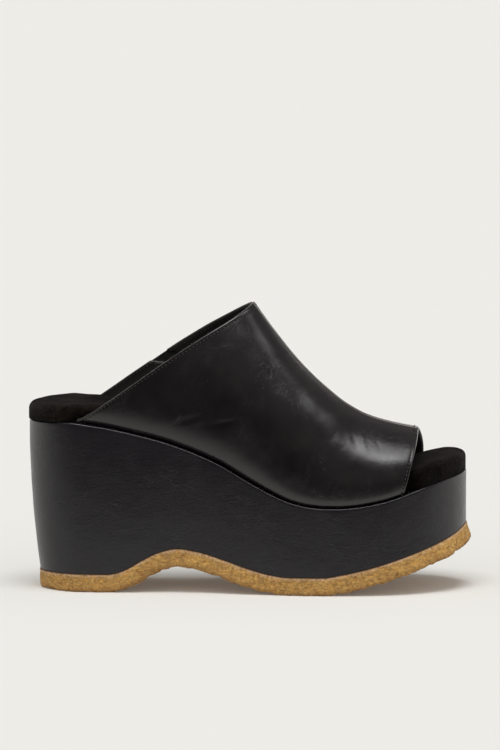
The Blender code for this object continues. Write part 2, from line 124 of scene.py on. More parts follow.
# Stitching: how far the row runs from the folded edge, and its thread
STITCH_INSET = 0.0023
STITCH_PITCH = 0.0022
THREAD_RADIUS = 0.00020
HOLE_RADIUS = 0.00050
STITCH_PULL = 0.00007
STITCH_PULL_WIDTH = 0.0005

# The folded edge: how far it stands proud, and the groove beside it
FOLD_WIDTH = 0.0014
FOLD_HEIGHT = 0.00006
FOLD_GROOVE_DEPTH = 0.00008
# The pale colour painted along the folded rims and the seam's lip as a painted highlight: its width, and its strength
# on the rims
HIGHLIGHT_WIDTH = 0.00035
RIM_HIGHLIGHT = 0.2
FOLD_GROOVE_WIDTH = 0.0003

# How finely the looks are meshed
SOLE_STATIONS = 520
PLATFORM_STATIONS = 320
FOOTBED_STATIONS = 300
ARCH_STEPS = 70
TUCK_STEPS = 14
SEAM_STEP = 0.0002
REACH_ROWS = 34
VAMP_ROWS = 100
RIM_DISTANCES = (0, 0.00008, 0.00025, 0.0005, 0.0008, 0.0011, 0.0015, 0.0019, 0.0023, 0.0027, 0.0032, 0.0038)

# The photograph's camera, and its pale backdrop
CAMERA_DISTANCE = 5.0
CAMERA_ELEVATION = 7.2
CAMERA_LIFT = 0.449
CAMERA_TARGET = (0.0, 0.0, 0.075)
CAMERA_LENS = 444.0
SENSOR = 36.0
BACKDROP = (0.855, 0.847, 0.815)

# The light on the floor: the share that comes from all round, and the rest from a soft lamp overhead
AMBIENT_SHARE = 0.45
SUN_TILT = 12.0
SUN_SOFTNESS = 34.0
FILL_SHARE = 0.09
FLOOR_LEVEL = 1.098

# How far before the shoe reflections see a pale floor, and over what length it fades
SHEET_FRONT = 0.13
SHEET_FADE = 0.27

LATERAL, MEDIAL = -1, 1


def columns(names, rows):
    """The rows of a table as a dictionary of its named columns."""
    return dict(zip(names.split(), np.array(rows, float).T))


# Half widths of the platform's top, away from its rounded ends.
# along: share of the length. width: the size that the row follows. lateral, medial: shares of it.
WIDTHS = columns(
    "along width lateral medial",
    [
        (0.000, HEEL_WIDTH, 0.500, 0.500),
        (0.140, HEEL_WIDTH, 0.500, 0.497),
        (0.220, HEEL_WIDTH, 0.506, 0.487),
        (0.300, HEEL_WIDTH, 0.508, 0.468),
        (0.365, HEEL_WIDTH, 0.521, 0.462),
        (0.440, BALL_WIDTH, 0.393, 0.345),
        (0.545, BALL_WIDTH, 0.450, 0.404),
        (0.635, BALL_WIDTH, 0.491, 0.463),
        (0.710, BALL_WIDTH, 0.503, 0.495),
        (0.780, BALL_WIDTH, 0.503, 0.501),
        (1.000, BALL_WIDTH, 0.503, 0.498),
    ],
)

# Height of the platform's top over the ball's seat.
# along: share of the length. follows: the rise that the row follows. share: share of it.
HEEL_DROP = HEEL_SEAT_HEIGHT - BALL_SEAT_HEIGHT
SEAT_LINE = columns(
    "along follows share",
    [
        (0.000, HEEL_DROP, 0.984),
        (0.050, HEEL_DROP, 0.997),
        (0.090, HEEL_DROP, 1.000),
        (0.150, HEEL_DROP, 0.963),
        (0.200, HEEL_DROP, 0.915),
        (0.250, HEEL_DROP, 0.853),
        (0.300, HEEL_DROP, 0.783),
        (0.350, HEEL_DROP, 0.694),
        (0.400, HEEL_DROP, 0.590),
        (0.440, HEEL_DROP, 0.490),
        (0.480, HEEL_DROP, 0.367),
        (0.520, HEEL_DROP, 0.249),
        (0.560, HEEL_DROP, 0.142),
        (0.600, HEEL_DROP, 0.060),
        (0.640, HEEL_DROP, 0.015),
        (0.675, HEEL_DROP, 0.000),
        (0.700, TOE_SEAT_RISE, 0.000),
        (0.744, TOE_SEAT_RISE, 0.040),
        (0.776, TOE_SEAT_RISE, 0.110),
        (0.809, TOE_SEAT_RISE, 0.210),
        (0.842, TOE_SEAT_RISE, 0.345),
        (0.875, TOE_SEAT_RISE, 0.505),
        (0.907, TOE_SEAT_RISE, 0.655),
        (0.940, TOE_SEAT_RISE, 0.785),
        (0.970, TOE_SEAT_RISE, 0.900),
        (1.000, TOE_SEAT_RISE, 1.000),
    ],
)

# Height of the outsole's top over its flats: heel flat, arch, ball flat and toe spring.
UNDERSIDE_LINE = columns(
    "along follows share",
    [
        (0.000, ARCH_RISE, 0.000),
        (0.178, ARCH_RISE, 0.000),
        (0.202, ARCH_RISE, 0.070),
        (0.225, ARCH_RISE, 0.225),
        (0.261, ARCH_RISE, 0.570),
        (0.297, ARCH_RISE, 0.855),
        (0.338, ARCH_RISE, 1.000),
        (0.385, ARCH_RISE, 0.890),
        (0.444, ARCH_RISE, 0.600),
        (0.501, ARCH_RISE, 0.285),
        (0.552, ARCH_RISE, 0.075),
        (0.590, ARCH_RISE, 0.000),
        (0.665, TOE_SPRING, 0.000),
        (0.710, TOE_SPRING, 0.070),
        (0.771, TOE_SPRING, 0.215),
        (0.843, TOE_SPRING, 0.440),
        (0.918, TOE_SPRING, 0.710),
        (0.951, TOE_SPRING, 0.845),
        (0.977, TOE_SPRING, 0.975),
        (1.000, TOE_SPRING, 1.130),
        (1.040, TOE_SPRING, 1.400),
    ],
)

# How the plan changes along the length.
# undercut: share of HEEL_UNDERCUT. swing: share of TOE_SWING. flare: how far the outsole's edge
# leans with the slope over it. footbed: how thick the footbed is, as a share of FOOTBED_THICKNESS.
PLAN_TRENDS = columns(
    "along undercut swing flare footbed",
    [
        (0.000, 1.00, 0.00, 1.00, 0.95),
        (0.060, 0.80, 0.00, 1.00, 0.97),
        (0.110, 0.55, 0.00, 1.00, 1.02),
        (0.170, 0.38, 0.00, 1.00, 1.16),
        (0.300, 0.25, 0.00, 1.00, 1.10),
        (0.600, 0.05, 0.02, 1.00, 1.05),
        (0.800, 0.00, 0.20, 1.00, 1.15),
        (0.900, 0.00, 0.60, 0.90, 1.18),
        (0.960, 0.00, 0.85, 0.70, 1.15),
        (1.000, 0.00, 1.00, 0.50, 1.06),
    ],
)

# The collar's edge in side view.
# height: share of the way up from the corner to the crest. rise: over the straight line, share of COLLAR_BOW.
COLLAR_EDGE = columns(
    "height rise",
    [
        (0.000, 0.00),
        (0.120, 0.10),
        (0.350, 0.60),
        (0.600, 1.00),
        (0.720, 0.90),
        (0.850, 0.45),
        (1.000, 0.00),
    ],
)

# The upper's sections, which fan out from the collar to the toe edge.
# section: 0 at the collar, 1 at the toe edge. forward, height: shares of the way along the instep's crest.
# widest: share of the section's height where it is widest. tuck: share of TUCK_DEPTH.
# fullness: the power of its arch.
SECTIONS = columns(
    "section forward height widest tuck fullness",
    [
        (0.000, 0.000, 1.000, 0.160, 1.00, 2.60),
        (0.130, 0.099, 0.822, 0.280, 1.00, 2.55),
        (0.282, 0.220, 0.617, 0.330, 1.00, 2.50),
        (0.420, 0.340, 0.442, 0.330, 1.00, 2.45),
        (0.546, 0.460, 0.298, 0.240, 0.95, 2.40),
        (0.662, 0.580, 0.178, 0.150, 0.80, 2.35),
        (0.766, 0.700, 0.097, 0.140, 0.72, 2.30),
        (0.863, 0.820, 0.049, 0.150, 0.70, 2.25),
        (1.000, 1.000, 0.000, 0.190, 0.70, 2.20),
    ],
)

# Soft creases of the upper, placed in side view.
# from_x, to_x: shares of PLATFORM_LENGTH. from_z, to_z: shares of COLLAR_HEIGHT. side: as LATERAL or MEDIAL.
# depth: metres, a ridge where it is negative. width: half width in metres.
CREASES = columns(
    "side from_x from_z to_x to_z depth width",
    [
        (LATERAL, 0.359, 0.800, 0.352, 0.700, -0.00016, 0.0016),
        (LATERAL, 0.338, 0.603, 0.390, 0.617, 0.00028, 0.0016),
        (LATERAL, 0.375, 0.628, 0.398, 0.600, -0.00020, 0.0013),
        (LATERAL, 0.410, 0.590, 0.480, 0.612, 0.00022, 0.0019),
        (LATERAL, 0.393, 0.874, 0.482, 0.870, 0.00016, 0.0026),
        (LATERAL, 0.470, 0.760, 0.500, 0.690, 0.00018, 0.0030),
        (LATERAL, 0.560, 0.772, 0.553, 0.708, -0.00014, 0.0014),
        (LATERAL, 0.690, 0.540, 0.706, 0.590, 0.00010, 0.0010),
        (LATERAL, 0.735, 0.555, 0.750, 0.512, 0.00020, 0.0013),
        (LATERAL, 0.757, 0.560, 0.768, 0.500, -0.00016, 0.0012),
        (LATERAL, 0.789, 0.538, 0.802, 0.505, 0.00020, 0.0012),
        (LATERAL, 0.640, 0.420, 0.700, 0.470, 0.00012, 0.0030),
        (MEDIAL, 0.330, 0.610, 0.400, 0.620, 0.00026, 0.0018),
        (MEDIAL, 0.380, 0.800, 0.372, 0.690, -0.00016, 0.0018),
        (MEDIAL, 0.430, 0.600, 0.500, 0.640, 0.00022, 0.0020),
        (MEDIAL, 0.740, 0.550, 0.756, 0.505, 0.00020, 0.0014),
        (MEDIAL, 0.790, 0.540, 0.800, 0.500, 0.00018, 0.0012),
    ],
)


def smooth(at, xs, ys):
    """A curve through the rows that never swings past them, so that level stretches stay level."""
    xs, ys = np.asarray(xs), np.asarray(ys)
    steps = np.diff(xs)
    slopes = np.diff(ys) / steps
    tangents = np.zeros(len(xs))
    tangents[0], tangents[-1] = slopes[0], slopes[-1]
    before, after = slopes[:-1], slopes[1:]
    same_way = before * after > 0
    weight = 2 * steps[1:] + steps[:-1], steps[1:] + 2 * steps[:-1]
    harmonic = (weight[0] + weight[1]) / (
        weight[0] / np.where(same_way, before, 1) + weight[1] / np.where(same_way, after, 1)
    )
    tangents[1:-1] = np.where(same_way, harmonic, 0)
    at = np.clip(at, xs[0], xs[-1])
    i = np.clip(np.searchsorted(xs, at, side="right") - 1, 0, len(steps) - 1)
    t = (at - xs[i]) / steps[i]
    return (
        ys[i] * (1 + 2 * t) * (1 - t) ** 2
        + ys[i + 1] * t**2 * (3 - 2 * t)
        + steps[i] * tangents[i] * t * (1 - t) ** 2
        - steps[i] * tangents[i + 1] * t**2 * (1 - t)
    )


def seat_height(x):
    """Height of the platform's top at x."""
    rise = SEAT_LINE["follows"] * SEAT_LINE["share"]
    return BALL_SEAT_HEIGHT + smooth(x / PLATFORM_LENGTH, SEAT_LINE["along"], rise)


def underside_height(x):
    """Height of the outsole's top, which the platform's underside follows, at x."""
    rise = UNDERSIDE_LINE["follows"] * UNDERSIDE_LINE["share"]
    return OUTSOLE_THICKNESS + smooth(x / PLATFORM_LENGTH, UNDERSIDE_LINE["along"], rise)


def slope_of(height, x, step=0.0002):
    """Slope of a height line at x."""
    return (height(x + step) - height(x - step)) / (2 * step)


def end_rounding(x):
    """1 along the platform, and the round fall of its width to 0 at the heel and the toe."""
    heel = np.clip(1 - x / HEEL_ROUND, 0, 1)
    toe = np.clip((x - PLATFORM_LENGTH + TOE_ROUND) / TOE_ROUND, 0, 1)
    return np.sqrt(1 - heel**2) * np.sqrt(1 - toe**2.3)


def outline_y(x, side):
    """y of the platform's top edge at x, on one side."""
    along = x / PLATFORM_LENGTH
    half = WIDTHS["width"] * WIDTHS["lateral" if side == LATERAL else "medial"]
    swing = TOE_SWING * smooth(along, PLAN_TRENDS["along"], PLAN_TRENDS["swing"])
    return swing + side * smooth(along, WIDTHS["along"], half) * end_rounding(x)


class Outline:
    """The platform's edge in plan as one closed ring: heel tip, lateral side, toe tip, medial side."""

    def __init__(self, stations):
        t = np.linspace(0, 1, stations + 1)
        x = PLATFORM_LENGTH * (t - TIP_CROWDING * np.sin(2 * math.pi * t) / (2 * math.pi))
        inner = x[1:-1]
        lateral = np.column_stack([x, outline_y(x, LATERAL)])
        medial = np.column_stack([inner, outline_y(inner, MEDIAL)])[::-1]
        self.plan = np.concatenate([lateral, medial])
        self.side = np.array([LATERAL] * len(lateral) + [MEDIAL] * len(medial))
        along = np.roll(self.plan, -1, 0) - np.roll(self.plan, 1, 0)
        along /= np.linalg.norm(along, axis=1)[:, None]
        self.outwards = np.column_stack([along[:, 1], -along[:, 0]])
        trend = smooth(self.plan[:, 0] / PLATFORM_LENGTH, PLAN_TRENDS["along"], PLAN_TRENDS["undercut"])
        self.undercut = HEEL_UNDERCUT * trend

    def ring(self, inset, height):
        """The ring moved inwards by inset, with its points at height(x)."""
        inset = np.broadcast_to(inset, len(self.plan))
        plan = self.plan - inset[:, None] * self.outwards
        return np.column_stack([plan, height(plan[:, 0])])


def section_frame(section, side):
    """The side view of a section: its foot (x, z) on the platform and its crest (x, z) on the instep."""
    toe_corner = TOE_CORNER_LATERAL if side == LATERAL else TOE_CORNER_MEDIAL
    foot_x = COLLAR_CORNER + section * (toe_corner - COLLAR_CORNER)
    forward = smooth(section, SECTIONS["section"], SECTIONS["forward"])
    height = smooth(section, SECTIONS["section"], SECTIONS["height"])
    crest_x = COLLAR_FRONT + forward * (VAMP_FRONT - COLLAR_FRONT)
    crest_z = VAMP_HEIGHT + height * (COLLAR_HEIGHT - VAMP_HEIGHT)
    return (foot_x, seat_height(foot_x) + SEAT_GAP), (crest_x, crest_z)


def section_side_view(section, side, share):
    """x and z of the point at that share of a section's height. The collar's edge bows up a little,
    and the medial toe edge bows forward."""
    foot, crest = section_frame(section, side)
    bow = TOE_EDGE_BOW * section**4 * 4 * share * (1 - share) if side == MEDIAL else 0
    rise = COLLAR_BOW * (1 - section) ** 3 * smooth(share, COLLAR_EDGE["height"], COLLAR_EDGE["rise"])
    return foot[0] + share * (crest[0] - foot[0]) + bow, foot[1] + share * (crest[1] - foot[1]) + rise


def tuck_point(section, side, turn):
    """A point of the part that turns in under the widest line: turn is 0 at the seat and 1 at that line."""
    angle = turn * math.pi / 2
    widest = smooth(section, SECTIONS["section"], SECTIONS["widest"])
    depth = TUCK_DEPTH * smooth(section, SECTIONS["section"], SECTIONS["tuck"])
    x, z = section_side_view(section, side, widest * (1 - math.cos(angle)))
    turned_in = 1 - math.sqrt(1 - abs(math.cos(angle)) ** TUCK_SQUARENESS)
    return x, outline_y(x, side) - side * depth * turned_in, z


def arch_point(section, angle):
    """A point of the arch over the foot: angle is 0 at the lateral widest line and pi at the medial one."""
    side = LATERAL if np.all(angle < math.pi / 2) else MEDIAL
    widest = smooth(section, SECTIONS["section"], SECTIONS["widest"])
    fullness = smooth(section, SECTIONS["section"], SECTIONS["fullness"])
    rise = np.maximum(np.sin(angle), 0) ** (2 / fullness)
    x, z = section_side_view(section, side, widest + (1 - widest) * rise)
    return x, CREST_OFFSET + (outline_y(x, side) - CREST_OFFSET) * np.abs(np.cos(angle)), z


def seam_angle(section):
    """Where the seam crosses the section's arch, a little lateral of the crest."""
    crest_x = section_frame(section, LATERAL)[1][0]
    return np.arccos(SEAM_OFFSET / (CREST_OFFSET - outline_y(crest_x, LATERAL)))


def seam_step(section, distance):
    """The angle that the distance takes up along the arch, beside the seam."""
    crest_x = section_frame(section, LATERAL)[1][0]
    return distance / (CREST_OFFSET - outline_y(crest_x, LATERAL))


def gore_column(share):
    """The place between the medial widest line and the seam that is at that share of the collar's height."""
    widest, fullness = SECTIONS["widest"][0], SECTIONS["fullness"][0]
    angle = math.asin(((share - widest) / (1 - widest)) ** (fullness / 2))
    reach = math.pi - float(seam_angle(0.0)) - float(seam_step(0.0, 2 * SEAM_LIP_SPACING))
    return (angle / reach) ** (1 / ARCH_CROWDING)


GORE_EDGES = (gore_column(GORE_START), gore_column(GORE_END))


def upper_point(section, column):
    """Points of the upper's outer surface, without relief: one section for each point, on one column."""
    zone, place = column
    if zone == "lateral_tuck":
        return tuck_point(section, LATERAL, place)
    if zone == "medial_tuck":
        return tuck_point(section, MEDIAL, place)
    seam, margin = seam_angle(section), seam_step(section, 2 * SEAM_LIP_SPACING)
    if zone == "seam":
        return arch_point(section, seam + seam_step(section, place))
    if zone == "lateral_arch":
        return arch_point(section, (seam - margin) * place**ARCH_CROWDING)
    return arch_point(section, math.pi - (math.pi - seam - margin) * place**ARCH_CROWDING)


def surface_grid(sections, listed):
    """Points of the upper's outer surface and its outward normals. sections has a column for each one listed."""
    grid = np.stack([np.column_stack(upper_point(sections[:, j], c)) for j, c in enumerate(listed)], axis=1)
    along, across = np.gradient(grid, axis=0), np.gradient(grid, axis=1)
    normals = np.cross(along, across)
    normals /= np.linalg.norm(normals, axis=2)[:, :, None]
    return grid, normals


def lattice_noise(points, size, seed):
    """Smooth noise from -1 to 1 whose lumps are about that size."""
    table = np.random.default_rng(seed).uniform(-1, 1, (32, 32, 32))
    at = np.asarray(points) / size + 100
    cell = np.floor(at).astype(int)
    t = at - cell
    t = t * t * (3 - 2 * t)
    total = np.zeros(len(at))
    for corner in np.ndindex(2, 2, 2):
        weight = np.prod(np.where(corner, t, 1 - t), axis=1)
        i, j, k = ((cell + corner) % 32).T
        total += weight * table[i, j, k]
    return total


def crease_relief(points):
    """Depth of the listed creases at points of the upper: a soft trough between two low ridges."""
    middle = CREST_OFFSET
    total = np.zeros(len(points))
    for side, x0, z0, x1, z1, depth, width in np.column_stack(list(CREASES.values())):
        start = np.array([x0 * PLATFORM_LENGTH, z0 * COLLAR_HEIGHT])
        run = np.array([x1 * PLATFORM_LENGTH, z1 * COLLAR_HEIGHT]) - start
        away = points[:, [0, 2]] - start
        share = np.clip(away @ run / (run @ run), 0, 1)
        across = np.linalg.norm(away - share[:, None] * run, axis=1) / width
        profile = (1 - 0.7 * across**2) * np.exp(-(across**2))
        taper = np.sin(math.pi * np.clip(share, 0.06, 0.94)) ** 0.5
        near = (points[:, 1] - middle) * side > 0
        total -= depth * profile * taper * near
    return total


def edge_distances(grid):
    """How far each point of the upper's grid lies from the collar's edge and from the toe's edge."""
    steps = np.linalg.norm(np.diff(grid, axis=0), axis=2)
    from_collar = np.concatenate([np.zeros((1, grid.shape[1])), np.cumsum(steps, axis=0)])
    return from_collar, from_collar[-1] - from_collar


def upper_columns():
    """The lines that run from collar to toe edge, as (zone, place), from the lateral to the medial seat."""
    steps = np.linspace(0, 1, ARCH_STEPS + 1)
    medial = steps.copy()
    for edge in GORE_EDGES:
        medial[np.abs(medial - edge).argmin()] = edge
    seam = np.arange(-2 * SEAM_LIP_SPACING + SEAM_STEP, 2 * SEAM_LIP_SPACING - SEAM_STEP / 2, SEAM_STEP)
    tuck = np.linspace(0, 1, TUCK_STEPS + 1)[:-1]
    listed = [("lateral_tuck", t) for t in tuck]
    listed += [("lateral_arch", s) for s in steps]
    listed += [("seam", d) for d in seam]
    listed += [("medial_arch", s) for s in medial[::-1]]
    listed += [("medial_tuck", t) for t in tuck[::-1]]
    return listed


def upper_rows(listed):
    """Sections of the rows on each column: close together at both edges, with one row at the gore's foot."""
    coarse = np.repeat(np.linspace(0, 1, 41)[:, None], len(listed), axis=1)
    lengths = edge_distances(surface_grid(coarse, listed)[0])[0][-1]
    rim = np.array(RIM_DISTANCES)[:, None] / lengths
    reach = np.linspace(0, 1, REACH_ROWS)[1:, None]
    vamp = np.linspace(0, 1, VAMP_ROWS)[1:-1, None]
    first, last = rim[-1], 1 - rim[-1]
    rows = [rim, first + reach * (GORE_REACH - first), GORE_REACH + vamp * (last - GORE_REACH), 1 - rim[::-1]]
    return np.concatenate(rows), len(rim) + REACH_ROWS - 2


def upper_shell():
    """Grids of points of the upper: outer face and inner face, and the cells that the leather fills."""
    listed = upper_columns()
    sections, slot_row = upper_rows(listed)
    base, normals = surface_grid(sections, listed)
    from_collar, from_toe = edge_distances(base)
    from_edge = np.minimum(from_collar, from_toe)
    turn = UPPER_WALL / 2
    rounded = turn - np.sqrt(turn**2 - np.clip(turn - from_edge, 0, turn) ** 2)
    relief = np.zeros(base.shape[:2])
    # A painted highlight: pale colour along the folded rims, and at full strength along the seam's lateral lip, where
    # they catch the light
    edge_highlight = RIM_HIGHLIGHT * np.exp(-((from_edge / HIGHLIGHT_WIDTH) ** 2))
    for j, (zone, place) in enumerate(listed):
        if zone == "seam":
            lips = SEAM_LIP_HEIGHT * np.exp(-(((abs(place) - SEAM_LIP_SPACING) / 0.0005) ** 2))
            groove = SEAM_GROOVE_DEPTH * np.exp(-((place / 0.00035) ** 2))
            relief[:, j] += lips - groove
            edge_highlight[:, j] += np.exp(-(((place + SEAM_LIP_SPACING) / HIGHLIGHT_WIDTH) ** 2))
    for distance in (from_collar, from_toe):
        relief -= STITCH_PULL * np.exp(-(((distance - STITCH_INSET) / STITCH_PULL_WIDTH) ** 2))
        relief -= FOLD_GROOVE_DEPTH * np.exp(-(((distance - FOLD_WIDTH) / FOLD_GROOVE_WIDTH) ** 2))
        relief += FOLD_HEIGHT * np.sqrt(np.clip(1 - (distance / FOLD_WIDTH) ** 2, 0, 1))
    flat = base.reshape(-1, 3)
    soft = 0.00018 * lattice_noise(flat, 0.016, 3) + 0.00007 * lattice_noise(flat, 0.006, 4)
    quiet = np.clip((from_edge - 0.004) / 0.008, 0, 1)
    relief += (0.75 * (crease_relief(flat) + soft)).reshape(relief.shape) * quiet
    outer = base + (relief - rounded)[:, :, None] * normals
    inner = base - (UPPER_WALL - rounded)[:, :, None] * normals
    kept = np.ones((len(sections) - 1, len(listed) - 1), bool)
    slot = [j for j, c in enumerate(listed) if c[0] == "medial_arch" and c[1] in GORE_EDGES]
    kept[:slot_row, min(slot) : max(slot)] = False
    facts = (base, normals, from_collar, from_toe, listed, (slot_row, min(slot), max(slot)))
    return outer, inner, kept, edge_highlight, facts


def shell_solid(outer, inner, kept):
    """A wall between two grids of points: kept says which cells of the grid it fills.

    Returns the points, the faces and for each face 0 on the outside and on the rim, and 1 inside."""
    rows, cols = outer.shape[:2]
    index = np.arange(rows * cols).reshape(rows, cols)
    below = index + rows * cols
    faces, inside = [], []

    def filled(i, j):
        return 0 <= i < rows - 1 and 0 <= j < cols - 1 and kept[i, j]

    for i in range(rows - 1):
        for j in range(cols - 1):
            if not kept[i, j]:
                continue
            a, b, c, d = (i, j), (i, j + 1), (i + 1, j + 1), (i + 1, j)
            faces.append((index[a], index[d], index[c], index[b]))
            faces.append((below[a], below[b], below[c], below[d]))
            inside += [0, 1]
            for near, far, beyond in (
                (a, b, (i - 1, j)),
                (b, c, (i, j + 1)),
                (c, d, (i + 1, j)),
                (d, a, (i, j - 1)),
            ):
                if not filled(*beyond):
                    faces.append((index[near], index[far], below[far], below[near]))
                    inside.append(0)
    return np.concatenate([outer.reshape(-1, 3), inner.reshape(-1, 3)]), faces, inside


def ring_stack(rings, across):
    """Points and faces of a solid whose wall passes through the rings, from the lowest to the highest.

    Its two ends are grids: across gives how many cells each has from the lateral to the medial side."""
    count = len(rings[0])
    stations = count // 2
    points = [*rings]
    total = len(rings) * count
    faces = []
    for level in range(len(rings) - 1):
        low, high = level * count, (level + 1) * count
        for k in range(count):
            n = (k + 1) % count
            faces.append((low + k, low + n, high + n, high + k))
    for level, cells, is_top in ((0, across[0], False), (len(rings) - 1, across[1], True)):
        base = level * count
        ring = rings[level]
        shares = np.linspace(0, 1, cells + 1)[1:-1, None]
        rows = [[base] * (cells + 1)]
        for k in range(1, stations):
            between = ring[k] + shares * (ring[count - k] - ring[k])
            points.append(between)
            rows.append([base + k, *range(total, total + len(between)), base + count - k])
            total += len(between)
        rows.append([base + stations] * (cells + 1))
        for row, after in zip(rows, rows[1:]):
            for j in range(cells):
                face = (row[j], after[j], after[j + 1], row[j + 1])
                face = tuple(dict.fromkeys(face if is_top else face[::-1]))
                if len(face) > 2:
                    faces.append(face)
    return np.concatenate(points), faces


def outsole_solid():
    """The crepe sheet: its walls, a rounded lower edge and its tread. crumble() later makes the walls crumbly, tears
    the lower edge and keeps the tread over the floor.
    """
    outline = Outline(SOLE_STATIONS)
    top = outline.ring(outline.undercut, underside_height)
    flare = smooth(top[:, 0] / PLATFORM_LENGTH, PLAN_TRENDS["along"], PLAN_TRENDS["flare"])
    slope = flare * slope_of(underside_height, top[:, 0])
    down = np.column_stack([slope, 0 * slope, -np.ones(len(slope))])
    down /= np.linalg.norm(down, axis=1)[:, None]
    inwards = -np.column_stack([outline.outwards, 0 * slope])

    def layer(depth, inset):
        return top + depth * down + inset * inwards

    turn = OUTSOLE_EDGE_ROUND
    rings = [layer(OUTSOLE_THICKNESS, turn)]
    for angle in np.linspace(0, math.pi / 2, 6)[1:]:
        rings.append(layer(OUTSOLE_THICKNESS - turn * (1 - math.cos(angle)), turn * (1 - math.sin(angle))))
    rings += [layer(share * (OUTSOLE_THICKNESS - turn), 0) for share in np.linspace(1, 0, 15)[1:]]
    return ring_stack(rings, (70, 4))


def crumble(piece):
    """Moves the crepe's surface in and out: lumps, crumbs and a torn lower edge."""
    mesh = piece.data
    points = mesh_points(mesh)
    normals = np.empty(len(mesh.vertices) * 3, np.float32)
    mesh.vertex_normals.foreach_get("vector", normals)
    normals = normals.reshape(-1, 3)
    x, z = points[:, 0], points[:, 2]
    depth = underside_height(x) - z
    shown = np.clip(depth / 0.0012, 0, 1)
    lumps = 0.00030 * lattice_noise(points, 0.0052, 11)
    crumbs = 0.00030 * lattice_noise(points, 0.0019, 12) + 0.00018 * lattice_noise(points, 0.0011, 13)
    torn = np.clip((depth - 0.55 * OUTSOLE_THICKNESS) / (0.45 * OUTSOLE_THICKNESS), 0, 1)
    ragged = 0.00055 * lattice_noise(points, 0.0034, 14) * torn
    moved = points + normals * ((lumps + crumbs + ragged) * (0.25 + 0.75 * shown))[:, None]
    top = depth < 0.00005
    moved[top, 2] = points[top, 2]
    moved[:, 2] = np.maximum(moved[:, 2], 0)
    set_points(mesh, moved)
    mesh.attributes.new("depth", "FLOAT", "POINT").data.foreach_set("value", depth.astype(np.float32))


def platform_solid():
    """The wrapped core: undercut at the heel, with a rounded upper edge."""
    outline = Outline(PLATFORM_STATIONS)
    turn = PLATFORM_EDGE_ROUND

    def layer(share):
        def height(x):
            low = underside_height(x) + SEAT_GAP
            return low + share * (seat_height(x) - turn - low)

        return outline.ring(outline.undercut * (1 - share) ** 2, height)

    rings = [layer(share) for share in np.linspace(0, 1, 36)]
    for angle in np.linspace(0, math.pi / 2, 6)[1:]:
        drop = turn * (1 - math.sin(angle))
        rings.append(outline.ring(turn * (1 - math.cos(angle)), lambda x, drop=drop: seat_height(x) - drop))
    return ring_stack(rings, (4, 8))


def wrap_relief(piece):
    """The faint unevenness of leather that is stretched over the core."""
    points = mesh_points(piece.data)
    x, y, z = points.T
    low, high = underside_height(x), seat_height(x)
    share = np.clip((z - low) / (high - low), 0, 1)
    quiet = np.clip(4 * share * (1 - share) * 2, 0, 1)
    swell = 0.00010 * lattice_noise(points, 0.014, 21) + 0.00004 * lattice_noise(points, 0.0045, 22)
    normals = np.empty(len(points) * 3, np.float32)
    piece.data.vertex_normals.foreach_get("vector", normals)
    set_points(piece.data, points + normals.reshape(-1, 3) * (swell * quiet)[:, None])


def tuck_heights(outline, places):
    """Height over the seat, at each place along the upper's foot, where the upper is widest."""
    found = np.zeros(len(places))
    for side in (LATERAL, MEDIAL):
        here = outline.side == side
        x, _, z = tuck_point(places[here], side, 1)
        found[here] = z - seat_height(x)
    return found


def footbed_solid():
    """The padded footbed: free at the heel and the toe, and let in where the upper goes down beside it."""
    outline = Outline(FOOTBED_STATIONS)
    x, side = outline.plan[:, 0], outline.side
    along = x / PLATFORM_LENGTH
    collar = section_frame(0.0, LATERAL)
    toe_corner = np.where(side == LATERAL, TOE_CORNER_LATERAL, TOE_CORNER_MEDIAL)
    foot_places = (x - COLLAR_CORNER) / (toe_corner - COLLAR_CORNER)
    widest_height = tuck_heights(outline, np.clip(foot_places, 0, 1))
    rounding_from = FOOTBED_THICKNESS - FOOTBED_EDGE_ROUND
    seat = SEAT_GAP + UPPER_WALL + FOOTBED_CLEARANCE / 2
    free_inset = FOOTBED_TOE_INSET * along - FOOTBED_HEEL_OVERHANG * (1 - along)

    def padding(at):
        share = smooth(at / PLATFORM_LENGTH, PLAN_TRENDS["along"], PLAN_TRENDS["footbed"])
        return FOOTBED_THICKNESS * (share - 1)

    def let_in(height):
        if height < seat:
            return np.full(len(x), TUCK_DEPTH + FOOTBED_CLEARANCE)
        below = np.clip((widest_height - height) / (widest_height - seat), 0, 1)
        return seat + (TUCK_DEPTH - seat) * (1 - np.sqrt(1 - below**2)) + FOOTBED_CLEARANCE

    def covered(height):
        lean = (collar[1][0] - collar[0][0]) / (collar[1][1] - collar[0][1])
        from_x = COLLAR_CORNER + 0.7 * lean * max(height - seat, 0) - FOOTBED_CLEARANCE
        to_x = toe_corner + 0.3 * height + FOOTBED_CLEARANCE
        ramp = 2.5 * FOOTBED_EDGE_ROUND
        return np.clip((x - from_x + ramp) / ramp, 0, 1) * np.clip((to_x + ramp - x) / ramp, 0, 1)

    def layer(height):
        over = max(height - rounding_from, 0)
        rounded = FOOTBED_EDGE_ROUND - math.sqrt(max(FOOTBED_EDGE_ROUND**2 - over**2, 0))
        inset = free_inset + covered(height) * (let_in(height) - free_inset)
        padded = min(max(height - seat, 0) / (rounding_from - seat), 1)
        return outline.ring(inset + rounded, lambda at: seat_height(at) + height + padded * padding(at))

    heights = [SEAT_GAP, 0.96 * seat, seat, *np.linspace(seat, rounding_from, 6)[1:]]
    heights += [rounding_from + FOOTBED_EDGE_ROUND * math.sin(a) for a in np.linspace(0, math.pi / 2, 10)[1:]]
    return ring_stack([layer(height) for height in heights], (4, 64))


